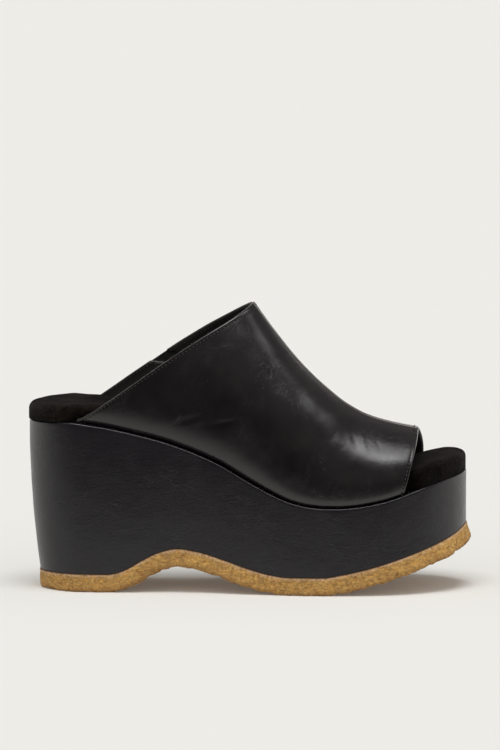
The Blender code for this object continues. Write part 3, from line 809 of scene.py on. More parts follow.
def footbed_relief(piece):
    """Soft hollows under the heel and the ball, and the padding's gentle unevenness."""
    points = mesh_points(piece.data)
    x, y, z = points.T
    top = np.clip((z - seat_height(x)) / FOOTBED_THICKNESS - 0.55, 0, 0.35) / 0.35
    heel = np.exp(-((x - 0.034) ** 2 + y**2) / 0.018**2)
    ball = np.exp(-(((x - 0.172) / 0.026) ** 2 + (y / 0.030) ** 2))
    fall = 0.0011 * heel + 0.0008 * ball
    uneven = 0.00025 * lattice_noise(points, 0.017, 31) + 0.00012 * lattice_noise(points, 0.005, 32)
    points[:, 2] += top * (uneven - fall)
    set_points(piece.data, points)


def gore_solid():
    """The elastic panel in the slot, ribbed from the collar downwards."""
    low, high = GORE_EDGES
    corner = [np.array(upper_point(np.zeros(1), ("medial_arch", place))).ravel() for place in GORE_EDGES]
    foot = np.array(upper_point(np.full(1, GORE_REACH), ("medial_arch", low))).ravel()
    wide, deep = np.linalg.norm(corner[1] - corner[0]), np.linalg.norm(foot - corner[0])
    side_gap = 1.5 * SEAT_GAP / wide * (high - low)
    count = 12 * max(int(wide / GORE_RIB_PITCH), 4)
    places = np.linspace(high - side_gap, low + side_gap, count + 1)
    sections = np.linspace(GORE_TOP_DROP / deep * GORE_REACH, GORE_REACH * (1 - SEAT_GAP / deep), 60)
    listed = [("medial_arch", place) for place in places]
    outer, normals = surface_grid(np.repeat(sections[:, None], len(listed), axis=1), listed)
    ribs = GORE_RIB_HEIGHT * (np.cos(np.linspace(0, 2 * math.pi * count / 12, count + 1)) - 1) / 2
    top = outer + (ribs[None, :, None] - GORE_RECESS) * normals
    under = outer - (GORE_RECESS + GORE_THICKNESS + ribs[None, :, None]) * normals
    return shell_solid(top, under, np.ones((len(sections) - 1, count), bool))[:2]


def mesh_points(mesh):
    """The mesh's points as an array, as the piece is shaped."""
    points = np.empty(len(mesh.vertices) * 3, np.float32)
    mesh.vertices.foreach_get("co", points)
    return points.reshape(-1, 3).astype(float)


def set_points(mesh, points):
    mesh.vertices.foreach_set("co", np.asarray(points, np.float32).ravel())
    mesh.update()


def make_piece(name, points, faces, materials, slots=None):
    """An object from points and faces, shaded smooth all over."""
    mesh = bpy.data.meshes.new(name)
    mesh.from_pydata(np.asarray(points).tolist(), [], [[int(i) for i in face] for face in faces])
    for material in materials:
        mesh.materials.append(material)
    if slots is not None:
        mesh.polygons.foreach_set("material_index", slots)
    mesh.shade_smooth()
    piece = bpy.data.objects.new(name, mesh)
    bpy.context.scene.collection.objects.link(piece)
    return piece


def weld(piece, distance=2e-6):
    """Joins points that lie on each other, and drops the faces that this closes up."""
    import bmesh

    editable = bmesh.new()
    editable.from_mesh(piece.data)
    bmesh.ops.remove_doubles(editable, verts=editable.verts, dist=distance)
    loose = [v for v in editable.verts if not v.link_faces]
    bmesh.ops.delete(editable, geom=loose, context="VERTS")
    editable.to_mesh(piece.data)
    editable.free()


# Where the part's own frame lies from the one that the pieces are shaped in
HEEL_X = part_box("platform")[0].x
MIDDLE_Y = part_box("platform")[0].y - Outline(68).plan[:, 1].min()


def settle(piece):
    """Moves the piece's mesh from the frame that it was shaped in to the part's own."""
    points = mesh_points(piece.data)
    points[:, 0] += HEEL_X
    points[:, 1] += MIDDLE_Y
    set_points(piece.data, points)
    return piece


class Nodes:
    """Adds nodes to a tree. An input that is given a socket is linked to it, and any other value is set."""

    def __init__(self, tree):
        self.tree = tree

    def add(self, kind, inputs=None, **settings):
        node = self.tree.nodes.new(kind)
        for name, value in settings.items():
            setattr(node, name, value)
        for key, value in (inputs or {}).items():
            socket = node.inputs[key]
            if isinstance(value, bpy.types.NodeSocket):
                self.tree.links.new(value, socket)
            else:
                socket.default_value = value
        return node

    def math(self, operation, *values):
        node = self.add("ShaderNodeMath", dict(enumerate(values)), operation=operation)
        return node.outputs[0]

    def noise(self, vector, scale, detail=2.0, roughness=0.5):
        inputs = {"Vector": vector, "Scale": scale, "Detail": detail, "Roughness": roughness}
        return self.add("ShaderNodeTexNoise", inputs).outputs["Fac"]

    def stretch(self, vector, scale, rotation=(0, 0, 0)):
        """The vector scaled by a different amount each way, after a turn."""
        return self.add("ShaderNodeMapping", {"Vector": vector, "Rotation": rotation, "Scale": scale}).outputs[0]

    def spread(self, value, low, high, to_low=0.0, to_high=1.0):
        inputs = {"Value": value, "From Min": low, "From Max": high, "To Min": to_low, "To Max": to_high}
        return self.add("ShaderNodeMapRange", inputs).outputs[0]

    def blend(self, factor, first, second):
        """A colour between two others."""
        node = self.add("ShaderNodeMix", {"Factor": factor}, data_type="RGBA")
        for socket, value in ((node.inputs[6], first), (node.inputs[7], second)):
            if isinstance(value, bpy.types.NodeSocket):
                self.tree.links.new(value, socket)
            else:
                socket.default_value = (*value, 1)
        return node.outputs[2]


def new_group(name, inputs, outputs):
    """An empty shader node group. inputs and outputs are (name, kind, default) and (name, kind)."""
    group = bpy.data.node_groups.new(name, "ShaderNodeTree")
    for label, kind, default in inputs:
        socket = group.interface.new_socket(label, in_out="INPUT", socket_type=f"NodeSocket{kind}")
        if default is not None:
            socket.default_value = default
    for label, kind in outputs:
        group.interface.new_socket(label, in_out="OUTPUT", socket_type=f"NodeSocket{kind}")
    start = group.nodes.new("NodeGroupInput")
    end = group.nodes.new("NodeGroupOutput")
    return group, Nodes(group), start.outputs, end.inputs


def leather_grain_group():
    """Smooth leather: fine pores, small wrinkles that run one way, and hairline folds of the finish."""
    inputs = [("Vector", "Vector", None), ("Pore Scale", "Float", 1800.0), ("Wrinkles", "Float", 0.5)]
    inputs += [("Turn", "Vector", (0.0, 0.5, 0.0)), ("Fold Scale", "Float", 130.0)]
    group, nodes, given, result = new_group("leather_grain", inputs, [("Height", "Float"), ("Folds", "Float")])
    cells = nodes.add("ShaderNodeTexVoronoi", {"Vector": given["Vector"], "Scale": given["Pore Scale"]})
    pores = nodes.spread(cells.outputs["Distance"], 0.0, 0.9)
    turned = nodes.add("ShaderNodeVectorRotate", {"Vector": given["Vector"], "Rotation": given["Turn"]},
                       rotation_type="EULER_XYZ")
    drawn = nodes.stretch(turned.outputs[0], (0.30, 1.0, 1.0))
    wrinkles = nodes.noise(drawn, 520.0, 4.0, 0.65)
    winding = nodes.noise(nodes.stretch(turned.outputs[0], (0.35, 1.0, 1.0)), given["Fold Scale"], 3.0, 0.55)
    ridge = nodes.math("ABSOLUTE", nodes.math("SUBTRACT", winding, 0.5))
    lines = nodes.spread(ridge, 0.0, 0.018, 1.0, 0.0)
    patches = nodes.spread(nodes.noise(given["Vector"], 40.0, 2.0, 0.5), 0.40, 0.66)
    folds = nodes.math("MULTIPLY", lines, patches)
    height = nodes.math("ADD", nodes.math("MULTIPLY", pores, 0.25),
                        nodes.math("MULTIPLY", wrinkles, nodes.math("MULTIPLY", given["Wrinkles"], 3.0)))
    pressed = nodes.math("MULTIPLY", folds, 0.6)
    nodes.tree.links.new(nodes.math("SUBTRACT", height, pressed), result["Height"])
    nodes.tree.links.new(folds, result["Folds"])
    return group


def clouds_group():
    """Broad soft patches, where leather has been rubbed or a surface has taken up dust."""
    inputs = [("Vector", "Vector", None), ("Scale", "Float", 60.0), ("Contrast", "Float", 1.0)]
    group, nodes, given, result = new_group("soft_clouds", inputs, [("Mask", "Float")])
    broad = nodes.noise(given["Vector"], given["Scale"], 3.0, 0.55)
    centred = nodes.math("MULTIPLY", nodes.math("SUBTRACT", broad, 0.5), given["Contrast"])
    mask = nodes.add("ShaderNodeMath", {0: centred, 1: 0.5}, operation="ADD", use_clamp=True)
    nodes.tree.links.new(mask.outputs[0], result["Mask"])
    return group


def scratches_group():
    """Sparse fine strokes: thin lines of stretched noise, shown in patches."""
    inputs = [("Vector", "Vector", None), ("Angle", "Vector", (0.0, 0.0, 0.0)), ("Amount", "Float", 0.5)]
    group, nodes, given, result = new_group("fine_scratches", inputs, [("Mask", "Float")])
    turned = nodes.add("ShaderNodeVectorRotate", {"Vector": given["Vector"], "Rotation": given["Angle"]},
                       rotation_type="EULER_XYZ")
    drawn = nodes.stretch(turned.outputs[0], (1.0, 1.0, 0.08))
    lines = nodes.noise(drawn, 800.0, 2.0, 0.5)
    strokes = nodes.spread(lines, 0.62, 0.78)
    patches = nodes.spread(nodes.noise(given["Vector"], 60.0, 2.0, 0.5), 0.55, 0.72)
    shown = nodes.math("MULTIPLY", nodes.math("MULTIPLY", strokes, patches), given["Amount"])
    nodes.tree.links.new(shown, result["Mask"])
    return group


def crumb_group():
    """The crumb of crepe rubber: granules of several sizes, with dark specks between them."""
    inputs = [("Vector", "Vector", None), ("Scale", "Float", 900.0)]
    outputs = [("Height", "Float"), ("Granules", "Float"), ("Specks", "Float")]
    group, nodes, given, result = new_group("crepe_crumb", inputs, outputs)
    cells = nodes.add("ShaderNodeTexVoronoi", {"Vector": given["Vector"], "Scale": given["Scale"]}, feature="SMOOTH_F1")
    granules = nodes.spread(cells.outputs["Distance"], 0.0, 0.8, 1.0, 0.0)
    coarse = nodes.noise(given["Vector"], nodes.math("MULTIPLY", given["Scale"], 0.4), 4.0, 0.65)
    fine = nodes.noise(given["Vector"], nodes.math("MULTIPLY", given["Scale"], 2.2), 2.0, 0.6)
    height = nodes.math("ADD", nodes.math("MULTIPLY", granules, 0.5), nodes.math("MULTIPLY", coarse, 0.9))
    height = nodes.math("ADD", height, nodes.math("MULTIPLY", fine, 0.25))
    nodes.tree.links.new(height, result["Height"])
    nodes.tree.links.new(granules, result["Granules"])
    nodes.tree.links.new(nodes.spread(coarse, 0.34, 0.48, 1.0, 0.0), result["Specks"])
    return group


def nap_group():
    """Short raised fibres: fine two-scale noise for bump, and the tone of brushed patches."""
    inputs = [("Vector", "Vector", None), ("Scale", "Float", 1500.0)]
    group, nodes, given, result = new_group("suede_nap", inputs, [("Height", "Float"), ("Tone", "Float")])
    fibres = nodes.noise(given["Vector"], given["Scale"], 5.0, 0.7)
    brushed = nodes.noise(given["Vector"], nodes.math("MULTIPLY", given["Scale"], 0.09), 4.0, 0.6)
    nodes.tree.links.new(nodes.math("ADD", fibres, nodes.math("MULTIPLY", brushed, 0.6)), result["Height"])
    mixed = nodes.math("ADD", nodes.math("MULTIPLY", brushed, 0.4), nodes.math("MULTIPLY", fibres, 0.6))
    nodes.tree.links.new(nodes.spread(mixed, 0.42, 0.58), result["Tone"])
    return group


GROUPS = {
    "grain": leather_grain_group(),
    "clouds": clouds_group(),
    "scratches": scratches_group(),
    "crumb": crumb_group(),
    "nap": nap_group(),
}


def new_material(name):
    """A material with a Principled shader, and a place to add nodes that read Object coordinates."""
    material = bpy.data.materials.new(name)
    material.use_nodes = True
    nodes = Nodes(material.node_tree)
    place = nodes.add("ShaderNodeTexCoord").outputs["Object"]
    return material, nodes, material.node_tree.nodes["Principled BSDF"], place


def use_group(nodes, name, **values):
    """Places a shared node group. An underscore in a value's name stands for a space."""
    inputs = {key.replace("_", " "): value for key, value in values.items()}
    node = nodes.tree.nodes.new("ShaderNodeGroup")
    node.node_tree = GROUPS[name]
    for key, value in inputs.items():
        socket = node.inputs[key]
        if isinstance(value, bpy.types.NodeSocket):
            nodes.tree.links.new(value, socket)
        else:
            socket.default_value = value
    return node.outputs


def bump(nodes, shader, height, depth):
    """Lets a height from 0 to 1 stand out of the surface by that depth in metres."""
    node = nodes.add("ShaderNodeBump", {"Height": height, "Distance": depth, "Strength": 1.0})
    nodes.tree.links.new(node.outputs[0], shader.inputs["Normal"])


def set_values(shader, **values):
    """Plain numbers and colours on the shader's own sockets."""
    for key, value in values.items():
        shader.inputs[key.replace("_", " ")].default_value = value


def upper_leather():
    material, nodes, shader, place = new_material("upper_leather")
    clouds = use_group(nodes, "clouds", Vector=place, Scale=50.0, Contrast=1.9)["Mask"]
    grain = use_group(nodes, "grain", Vector=place, Pore_Scale=2200.0, Wrinkles=0.35, Turn=(0.0, 1.1, 0.0))
    strokes = use_group(nodes, "scratches", Vector=place, Angle=(0.0, 0.45, 0.0), Amount=1.0)["Mask"]
    colour = nodes.blend(clouds, (0.0038, 0.0026, 0.0036), (0.0105, 0.0080, 0.0084))
    colour = nodes.blend(nodes.math("MULTIPLY", grain["Folds"], 0.5), colour, (0.024, 0.022, 0.021))
    colour = nodes.blend(strokes, colour, (0.030, 0.029, 0.028))
    # A painted highlight: this pale colour along the folded rims and the seam's lip stands in for their highlight
    painted_highlight = nodes.add("ShaderNodeAttribute", attribute_name="edge_highlight").outputs["Fac"]
    colour = nodes.blend(painted_highlight, colour, (0.20, 0.185, 0.165))
    nodes.tree.links.new(colour, shader.inputs["Base Color"])
    rough = nodes.spread(clouds, 0.2, 0.8, 0.22, 0.28)
    nodes.tree.links.new(nodes.math("ADD", rough, nodes.math("MULTIPLY", strokes, 0.15)), shader.inputs["Roughness"])
    height = nodes.math("ADD", grain["Height"], nodes.math("MULTIPLY", strokes, -0.5))
    bump(nodes, shader, height, 0.00007)
    set_values(shader, IOR=1.55, Coat_Weight=0.15, Coat_Roughness=0.18, Coat_IOR=1.5)
    return material


def wrap_leather():
    material, nodes, shader, place = new_material("wrap_leather")
    clouds = use_group(nodes, "clouds", Vector=place, Scale=45.0, Contrast=1.8)["Mask"]
    grain = use_group(nodes, "grain", Vector=place, Pore_Scale=1500.0, Wrinkles=0.4, Turn=(0.0, 0.12, 0.0))
    strokes = use_group(nodes, "scratches", Vector=place, Angle=(0.0, 1.2, 0.0), Amount=0.6)["Mask"]
    colour = nodes.blend(clouds, (0.0050, 0.0038, 0.0056), (0.0088, 0.0068, 0.0094))
    colour = nodes.blend(nodes.math("MULTIPLY", grain["Folds"], 0.3), colour, (0.030, 0.030, 0.032))
    colour = nodes.blend(strokes, colour, (0.040, 0.040, 0.042))
    nodes.tree.links.new(colour, shader.inputs["Base Color"])
    nodes.tree.links.new(nodes.spread(clouds, 0.2, 0.8, 0.30, 0.38), shader.inputs["Roughness"])
    bump(nodes, shader, nodes.math("ADD", grain["Height"], strokes), 0.00008)
    set_values(shader, IOR=1.5)
    return material


def crepe_rubber():
    material, nodes, shader, place = new_material("crepe_rubber")
    crumb = use_group(nodes, "crumb", Vector=place, Scale=850.0)
    clouds = use_group(nodes, "clouds", Vector=place, Scale=110.0, Contrast=2.2)["Mask"]
    colour = nodes.blend(clouds, (0.35, 0.165, 0.026), (0.54, 0.290, 0.058))
    strings = nodes.noise(nodes.stretch(place, (0.6, 1.0, 1.5)), 700.0, 4.0, 0.75)
    colour = nodes.blend(nodes.spread(strings, 0.40, 0.60), nodes.blend(0.75, colour, (0.14, 0.055, 0.012)), colour)
    colour = nodes.blend(nodes.math("MULTIPLY", crumb["Specks"], 0.5), colour, (0.16, 0.07, 0.018))
    colour = nodes.blend(nodes.math("MULTIPLY", crumb["Granules"], 0.35), colour, (0.84, 0.56, 0.20))
    depth = nodes.add("ShaderNodeAttribute", attribute_name="depth").outputs["Fac"]
    roughened = nodes.math("MULTIPLY", crumb["Granules"], nodes.spread(depth, 0.0007, 0.0024, 0.7, 0.0))
    colour = nodes.blend(roughened, colour, (0.62, 0.44, 0.32))
    colour = nodes.blend(nodes.spread(depth, 0.0002, 0.0007, 0.9, 0.0), colour, (0.05, 0.018, 0.006))
    colour = nodes.blend(nodes.spread(depth, 0.0066, 0.0100, 0.0, 0.45), colour, (0.16, 0.066, 0.018))
    nodes.tree.links.new(colour, shader.inputs["Base Color"])
    nodes.tree.links.new(nodes.spread(crumb["Granules"], 0.0, 1.0, 0.85, 0.6), shader.inputs["Roughness"])
    bump(nodes, shader, crumb["Height"], 0.00030)
    set_values(shader, IOR=1.5, Subsurface_Weight=0.12, Subsurface_Scale=0.002)
    return material


def suede():
    material, nodes, shader, place = new_material("suede")
    nap = use_group(nodes, "nap", Vector=place, Scale=950.0)
    colour = nodes.blend(nap["Tone"], (0.0012, 0.0009, 0.0008), (0.0130, 0.0096, 0.0078))
    # Painted shade: the suede is darker where the upper covers the footbed, as the shade under the upper
    forward = nodes.add("ShaderNodeSeparateXYZ", {"Vector": place}).outputs["X"]
    toe_edge = TOE_CORNER_LATERAL + HEEL_X
    covered = nodes.math("MULTIPLY", nodes.spread(forward, COLLAR_CORNER + HEEL_X, HEEL_X + 0.05),
                         nodes.spread(forward, toe_edge, toe_edge + 0.025, 0.9, 0.0))
    colour = nodes.blend(covered, colour, (0.0012, 0.0009, 0.0008))
    nodes.tree.links.new(colour, shader.inputs["Base Color"])
    bump(nodes, shader, nap["Height"], 0.00035)
    set_values(shader, Roughness=1.0, IOR=1.12, Sheen_Weight=0.025, Sheen_Roughness=0.5)
    return material


def elastic():
    material, nodes, shader, place = new_material("elastic")
    weave = use_group(nodes, "nap", Vector=place, Scale=2600.0)
    colour = nodes.blend(weave["Tone"], (0.010, 0.0095, 0.0095), (0.022, 0.021, 0.021))
    nodes.tree.links.new(colour, shader.inputs["Base Color"])
    bump(nodes, shader, weave["Height"], 0.00008)
    set_values(shader, Roughness=0.75, IOR=1.45)
    return material


def lining():
    material, nodes, shader, place = new_material("lining")
    grain = use_group(nodes, "grain", Vector=place, Pore_Scale=1700.0, Wrinkles=0.3)
    clouds = use_group(nodes, "clouds", Vector=place, Scale=90.0, Contrast=1.5)["Mask"]
    nodes.tree.links.new(nodes.blend(clouds, (0.010, 0.0086, 0.0082), (0.020, 0.0175, 0.0165)), shader.inputs["Base Color"])
    bump(nodes, shader, grain["Height"], 0.00004)
    set_values(shader, Roughness=0.6, IOR=1.4)
    return material


def thread():
    material, nodes, shader, place = new_material("thread")
    twist = nodes.noise(place, 6000.0, 2.0, 0.5)
    nodes.tree.links.new(nodes.blend(twist, (0.022, 0.021, 0.020), (0.060, 0.057, 0.054)), shader.inputs["Base Color"])
    set_values(shader, Roughness=0.5, IOR=1.5)
    return material


def needle_hole_shade():
    # Painted shade: near-black grains stand in for the shade inside the needle holes
    material, nodes, shader, place = new_material("needle_hole_shade")
    nodes.tree.links.new(nodes.blend(nodes.noise(place, 2000.0), (0.002, 0.002, 0.002), (0.004, 0.004, 0.004)),
                         shader.inputs["Base Color"])
    set_values(shader, Roughness=0.9, IOR=1.3)
    return material


MATERIALS = {
    "upper": upper_leather(),
    "wrap": wrap_leather(),
    "crepe": crepe_rubber(),
    "suede": suede(),
    "elastic": elastic(),
    "lining": lining(),
    "thread": thread(),
    "hole": needle_hole_shade(),
}


def repeat_tree():
    """A Geometry Nodes tree that sets small rounded grains along a path: stitches, or black grains painted as the shade
    in the holes between them.
    """
    tree = bpy.data.node_groups.new("stitch_row", "GeometryNodeTree")
    tree.interface.new_socket("Path", in_out="INPUT", socket_type="NodeSocketGeometry")
    for label, default in (("Pitch", 0.002), ("Half Length", 0.0007), ("Radius", 0.0002)):
        socket = tree.interface.new_socket(label, in_out="INPUT", socket_type="NodeSocketFloat")
        socket.default_value = default
    tree.interface.new_socket("Finish", in_out="INPUT", socket_type="NodeSocketMaterial")
    tree.interface.new_socket("Grains", in_out="OUTPUT", socket_type="NodeSocketGeometry")
    nodes = Nodes(tree)
    given = nodes.add("NodeGroupInput").outputs
    points = nodes.add("GeometryNodeCurveToPoints", {"Curve": given["Path"], "Length": given["Pitch"]}, mode="LENGTH")
    ball = nodes.add("GeometryNodeMeshUVSphere", {"Segments": 6, "Rings": 5, "Radius": 1.0})
    size = nodes.add("ShaderNodeCombineXYZ", {"X": given["Radius"], "Y": given["Radius"], "Z": given["Half Length"]})
    aim = nodes.add("FunctionNodeAlignRotationToVector", {"Vector": points.outputs["Tangent"]}, axis="Z")
    laid = nodes.add(
        "GeometryNodeInstanceOnPoints",
        {
            "Points": points.outputs["Points"],
            "Instance": ball.outputs["Mesh"],
            "Rotation": aim.outputs[0],
            "Scale": size.outputs[0],
        },
    )
    real = nodes.add("GeometryNodeRealizeInstances", {"Geometry": laid.outputs[0]})
    even = nodes.add("GeometryNodeSetShadeSmooth", {"Geometry": real.outputs[0]})
    finished = nodes.add("GeometryNodeSetMaterial", {"Geometry": even.outputs[0], "Material": given["Finish"]})
    end = nodes.add("NodeGroupOutput")
    tree.links.new(finished.outputs[0], end.inputs["Grains"])
    return tree


REPEAT = repeat_tree()


def path_curve(name, points):
    """A curve object that runs straight from point to point."""
    curve = bpy.data.curves.new(name, "CURVE")
    curve.dimensions = "3D"
    line = curve.splines.new("POLY")
    line.points.add(len(points) - 1)
    line.points.foreach_set("co", np.column_stack([points, np.ones(len(points))]).ravel())
    piece = bpy.data.objects.new(name, curve)
    bpy.context.scene.collection.objects.link(piece)
    return piece


def grains_along(name, points, pitch, half_length, radius, finish):
    """A plain mesh of the grains that the tree sets along the points."""
    path = path_curve(name + "_path", points)
    modifier = path.modifiers.new("stitch_row", "NODES")
    modifier.node_group = REPEAT
    values = {"Pitch": pitch, "Half Length": half_length, "Radius": radius, "Finish": finish}
    for item in REPEAT.interface.items_tree:
        if item.in_out == "INPUT" and item.name in values:
            modifier[item.identifier] = values[item.name]
    bpy.context.view_layer.update()
    graph = bpy.context.evaluated_depsgraph_get()
    mesh = bpy.data.meshes.new_from_object(path.evaluated_get(graph), depsgraph=graph)
    bpy.data.objects.remove(path)
    mesh.name = name
    piece = bpy.data.objects.new(name, mesh)
    bpy.context.scene.collection.objects.link(piece)
    return piece


def row_on_surface(shape, distance, inset, side_columns, lift):
    """Points at a distance from an edge of the upper, on its outer face, lifted off it."""
    base, normals = shape
    points = []
    for j in side_columns:
        line = [np.interp(inset, distance[:, j], base[:, j, k]) for k in range(3)]
        up = np.array([np.interp(inset, distance[:, j], normals[:, j, k]) for k in range(3)])
        points.append(np.array(line) + lift * up / np.linalg.norm(up))
    return np.array(points)


def shift_row(points, share):
    """The row moved along itself by a share of its first step, for what lies between the stitches."""
    steps = np.concatenate([[0], np.cumsum(np.linalg.norm(np.diff(points, axis=0), axis=1))])
    at = np.linspace(share, steps[-1], len(points))
    return np.column_stack([np.interp(at, steps, points[:, k]) for k in range(3)])


def join(pieces, name):
    """One object from several, with their materials."""
    with bpy.context.temp_override(active_object=pieces[0], selected_editable_objects=pieces):
        bpy.ops.object.join()
    pieces[0].name = pieces[0].data.name = name
    return pieces[0]


def stitching(shell_facts):
    """The rows of thread along the collar and the toe edge, outside and inside, with black grains at their needle holes
    as painted shade.
    """
    base, normals, from_collar, from_toe, listed, (slot_row, slot_low, slot_high) = shell_facts
    every = range(len(listed))
    rows = []
    collar_sides = ([j for j in every if j <= slot_low], [j for j in every if j >= slot_high])
    for part in collar_sides:
        rows.append((from_collar, part))
    rows.append((from_toe[::-1], list(every)))
    threads, holes = [], []
    for n, (distance, part) in enumerate(rows):
        shape = (base, normals) if n < 2 else (base[::-1], normals[::-1])
        for face, level in (("outside", -STITCH_PULL), ("inside", -UPPER_WALL)):
            sign = 1 if face == "outside" else -1
            laid = row_on_surface(shape, distance, STITCH_INSET, part, level + sign * THREAD_RADIUS * 0.6)
            sunk = row_on_surface(shape, distance, STITCH_INSET, part, level - sign * HOLE_RADIUS * 0.35)
            label = f"row_{n}_{face}"
            half = 0.25 * STITCH_PITCH
            finish = MATERIALS["thread"]
            threads.append(grains_along(label + "_thread", laid, STITCH_PITCH, half, THREAD_RADIUS, finish))
            # The needle holes: black grains between the stitches, painted shade where the needle went through
            between, finish = shift_row(sunk, STITCH_PITCH / 2), MATERIALS["hole"]
            holes.append(grains_along(label + "_hole", between, STITCH_PITCH, HOLE_RADIUS, HOLE_RADIUS, finish))
    return join(threads + holes, "stitching")


def finish_piece(piece, nodes):
    """Settles the piece, hides the part's nodes that it stands for, and hangs it from the root body."""
    settle(piece)
    if nodes:
        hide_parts(*nodes)
    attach(piece, "root")
    return piece


def add_upper():
    outer, inner, kept, edge_highlight, facts = upper_shell()
    points, faces, inside = shell_solid(outer, inner, kept)
    piece = make_piece("upper_shell", points, faces, [MATERIALS["upper"], MATERIALS["lining"]], inside)
    # The painted highlight's mask, on the outer face only
    painted_highlight = np.concatenate([edge_highlight.ravel(), np.zeros(edge_highlight.size)])
    piece.data.attributes.new("edge_highlight", "FLOAT", "POINT").data.foreach_set("value", np.clip(painted_highlight, 0, 1))
    weld(piece)
    finish_piece(piece, ["upper"])
    finish_piece(stitching(facts), [])


def add_sole():
    wrap = make_piece("wrapped_platform", *platform_solid(), [MATERIALS["wrap"]])
    wrap_relief(wrap)
    wrap.data.set_sharp_from_angle(angle=math.radians(50))
    finish_piece(wrap, ["platform"])
    crepe = make_piece("crepe_outsole", *outsole_solid(), [MATERIALS["crepe"]])
    crumble(crepe)
    finish_piece(crepe, ["outsole"])


def add_footbed():
    pad = make_piece("suede_footbed", *footbed_solid(), [MATERIALS["suede"]])
    footbed_relief(pad)
    finish_piece(pad, ["footbed"])


def add_gore():
    piece = make_piece("ribbed_gore", *gore_solid(), [MATERIALS["elastic"]])
    finish_piece(piece, ["gore"])


def add_camera():
    """The photograph's view: side on, a little from above, from far away with a long lens."""
    data = bpy.data.cameras.new("camera")
    data.lens = CAMERA_LENS
    data.sensor_width = SENSOR
    data.clip_end = 100
    camera = bpy.data.objects.new("camera", data)
    elevation = math.radians(CAMERA_ELEVATION)
    back = Vector((0, -math.cos(elevation), math.sin(elevation)))
    camera.location = Vector(CAMERA_TARGET) + CAMERA_DISTANCE * back
    camera.rotation_euler = (math.radians(90 - CAMERA_ELEVATION + CAMERA_LIFT), 0, 0)
    bpy.context.scene.collection.objects.link(camera)
    bpy.context.scene.camera = camera


def add_floor():
    """A pale floor that runs out of view on every side. Reflections see it end a little way before the shoe."""
    half = 20.0
    corners = [(-half, -half, 0), (half, -half, 0), (half, half, 0), (-half, half, 0)]
    material, nodes, shader, place = new_material("pale_floor")
    before = nodes.math("MULTIPLY", nodes.add("ShaderNodeSeparateXYZ", {"Vector": place}).outputs["Y"], -1.0)
    beyond = nodes.spread(before, SHEET_FRONT, SHEET_FRONT + SHEET_FADE)
    mirrored = nodes.add("ShaderNodeLightPath").outputs["Is Glossy Ray"]
    dark = nodes.math("MULTIPLY", beyond, mirrored)
    nodes.tree.links.new(nodes.blend(dark, BACKDROP, (0.02, 0.02, 0.02)), shader.inputs["Base Color"])
    set_values(shader, Roughness=1.0, Specular_IOR_Level=0.0)
    floor = make_piece("floor", corners, [(0, 1, 2, 3)], [material])
    return floor


def add_area(name, place, target, size, power, colour=(1, 1, 1), shape="RECTANGLE"):
    """A soft box that faces its target."""
    data = bpy.data.lights.new(name, "AREA")
    data.shape = shape
    data.size, data.size_y = size
    data.energy = power
    data.color = colour
    light = bpy.data.objects.new(name, data)
    light.location = place
    light.rotation_euler = (Vector(target) - Vector(place)).to_track_quat("-Z", "Y").to_euler()
    bpy.context.scene.collection.objects.link(light)
    light.visible_camera = False
    return light


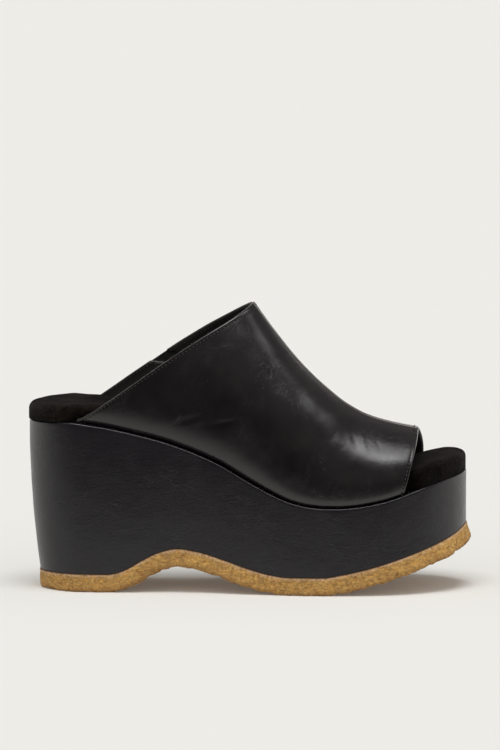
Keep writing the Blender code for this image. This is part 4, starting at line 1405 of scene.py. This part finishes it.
def add_world():
    """Even pale light for the backdrop; in reflections the room is dark in front and bright over and behind."""
    world = bpy.data.worlds.new("studio")
    bpy.context.scene.world = world
    world.use_nodes = True
    nodes = Nodes(world.node_tree)
    world.node_tree.nodes.clear()
    direction = nodes.add("ShaderNodeTexCoord").outputs["Generated"]
    parts = nodes.add("ShaderNodeSeparateXYZ", {"Vector": direction}).outputs
    wall = nodes.math("MULTIPLY", nodes.spread(parts["Y"], -0.35, 0.25), nodes.spread(parts["Z"], 0.02, 0.20, 2.0, 0.0))
    ceiling = nodes.spread(parts["Z"], 0.05, 0.35, 0.01, 0.13)
    glossy = nodes.add("ShaderNodeLightPath").outputs["Is Glossy Ray"]
    front = nodes.math("SUBTRACT", 1.0, nodes.math("MULTIPLY", parts["Y"], 0.8))
    even = nodes.add("ShaderNodeBackground", {"Strength": nodes.math("MULTIPLY", front, FLOOR_LEVEL * AMBIENT_SHARE)})
    seen = nodes.add("ShaderNodeMath", {0: wall, 1: ceiling}, operation="MAXIMUM").outputs[0]
    room = nodes.add("ShaderNodeBackground", {"Color": (1.0, 0.97, 0.93, 1), "Strength": seen})
    camera = nodes.add("ShaderNodeLightPath").outputs["Is Camera Ray"]
    plain = nodes.add("ShaderNodeBackground", {"Color": (*BACKDROP, 1), "Strength": 1.0})
    lit = nodes.add("ShaderNodeMixShader", {0: glossy, 1: even.outputs[0], 2: room.outputs[0]})
    shown = nodes.add("ShaderNodeMixShader", {0: camera, 1: lit.outputs[0], 2: plain.outputs[0]})
    nodes.add("ShaderNodeOutputWorld", {"Surface": shown.outputs[0]})


def add_lights(floor):
    """Soft boxes over and beside the shoe. They light the shoe alone, so that the floor stays even."""
    over = add_area("over", (0.08, -0.16, 1.15), (0.05, 0, 0.08), (1.0, 0.70), 5.0)
    core = add_area("over_core", (-0.02, -0.14, 1.14), (0.05, 0, 0.08), (0.84, 0.34), 4.6)
    side = add_area("side", (1.20, 0.08, 0.86), (0.05, 0, 0.08), (0.6, 0.4), 1.8)
    lit = bpy.data.collections.new("lit_by_boxes")
    for light in (over, core, side):
        light.light_linking.receiver_collection = lit
    sun = bpy.data.lights.new("top_light", "SUN")
    tilt = math.radians(SUN_TILT)
    sun.angle = math.radians(SUN_SOFTNESS)
    sun.energy = FLOOR_LEVEL * (1 - AMBIENT_SHARE - FILL_SHARE) * math.pi / math.cos(tilt)
    top = bpy.data.objects.new("top_light", sun)
    top.rotation_euler = (tilt, 0, 0)
    top.visible_glossy = False
    bpy.context.scene.collection.objects.link(top)
    fill = bpy.data.lights.new("shadow_fill", "SUN")
    fill.energy = FLOOR_LEVEL * FILL_SHARE * math.pi
    fill.use_shadow = False
    fill.color = (1.0, 0.93, 0.86)
    lift = bpy.data.objects.new("shadow_fill", fill)
    lift.visible_glossy = False
    bpy.context.scene.collection.objects.link(lift)
    ground = bpy.data.collections.new("lit_by_fill")
    ground.objects.link(floor)
    lift.light_linking.receiver_collection = ground
    for piece in bpy.data.objects:
        if piece.type == "MESH" and piece is not floor:
            lit.objects.link(piece)


def main():
    add_upper()
    add_gore()
    add_sole()
    add_footbed()
    add_camera()
    floor = add_floor()
    add_world()
    add_lights(floor)
    bpy.context.scene.view_settings.view_transform = "Standard"


main()
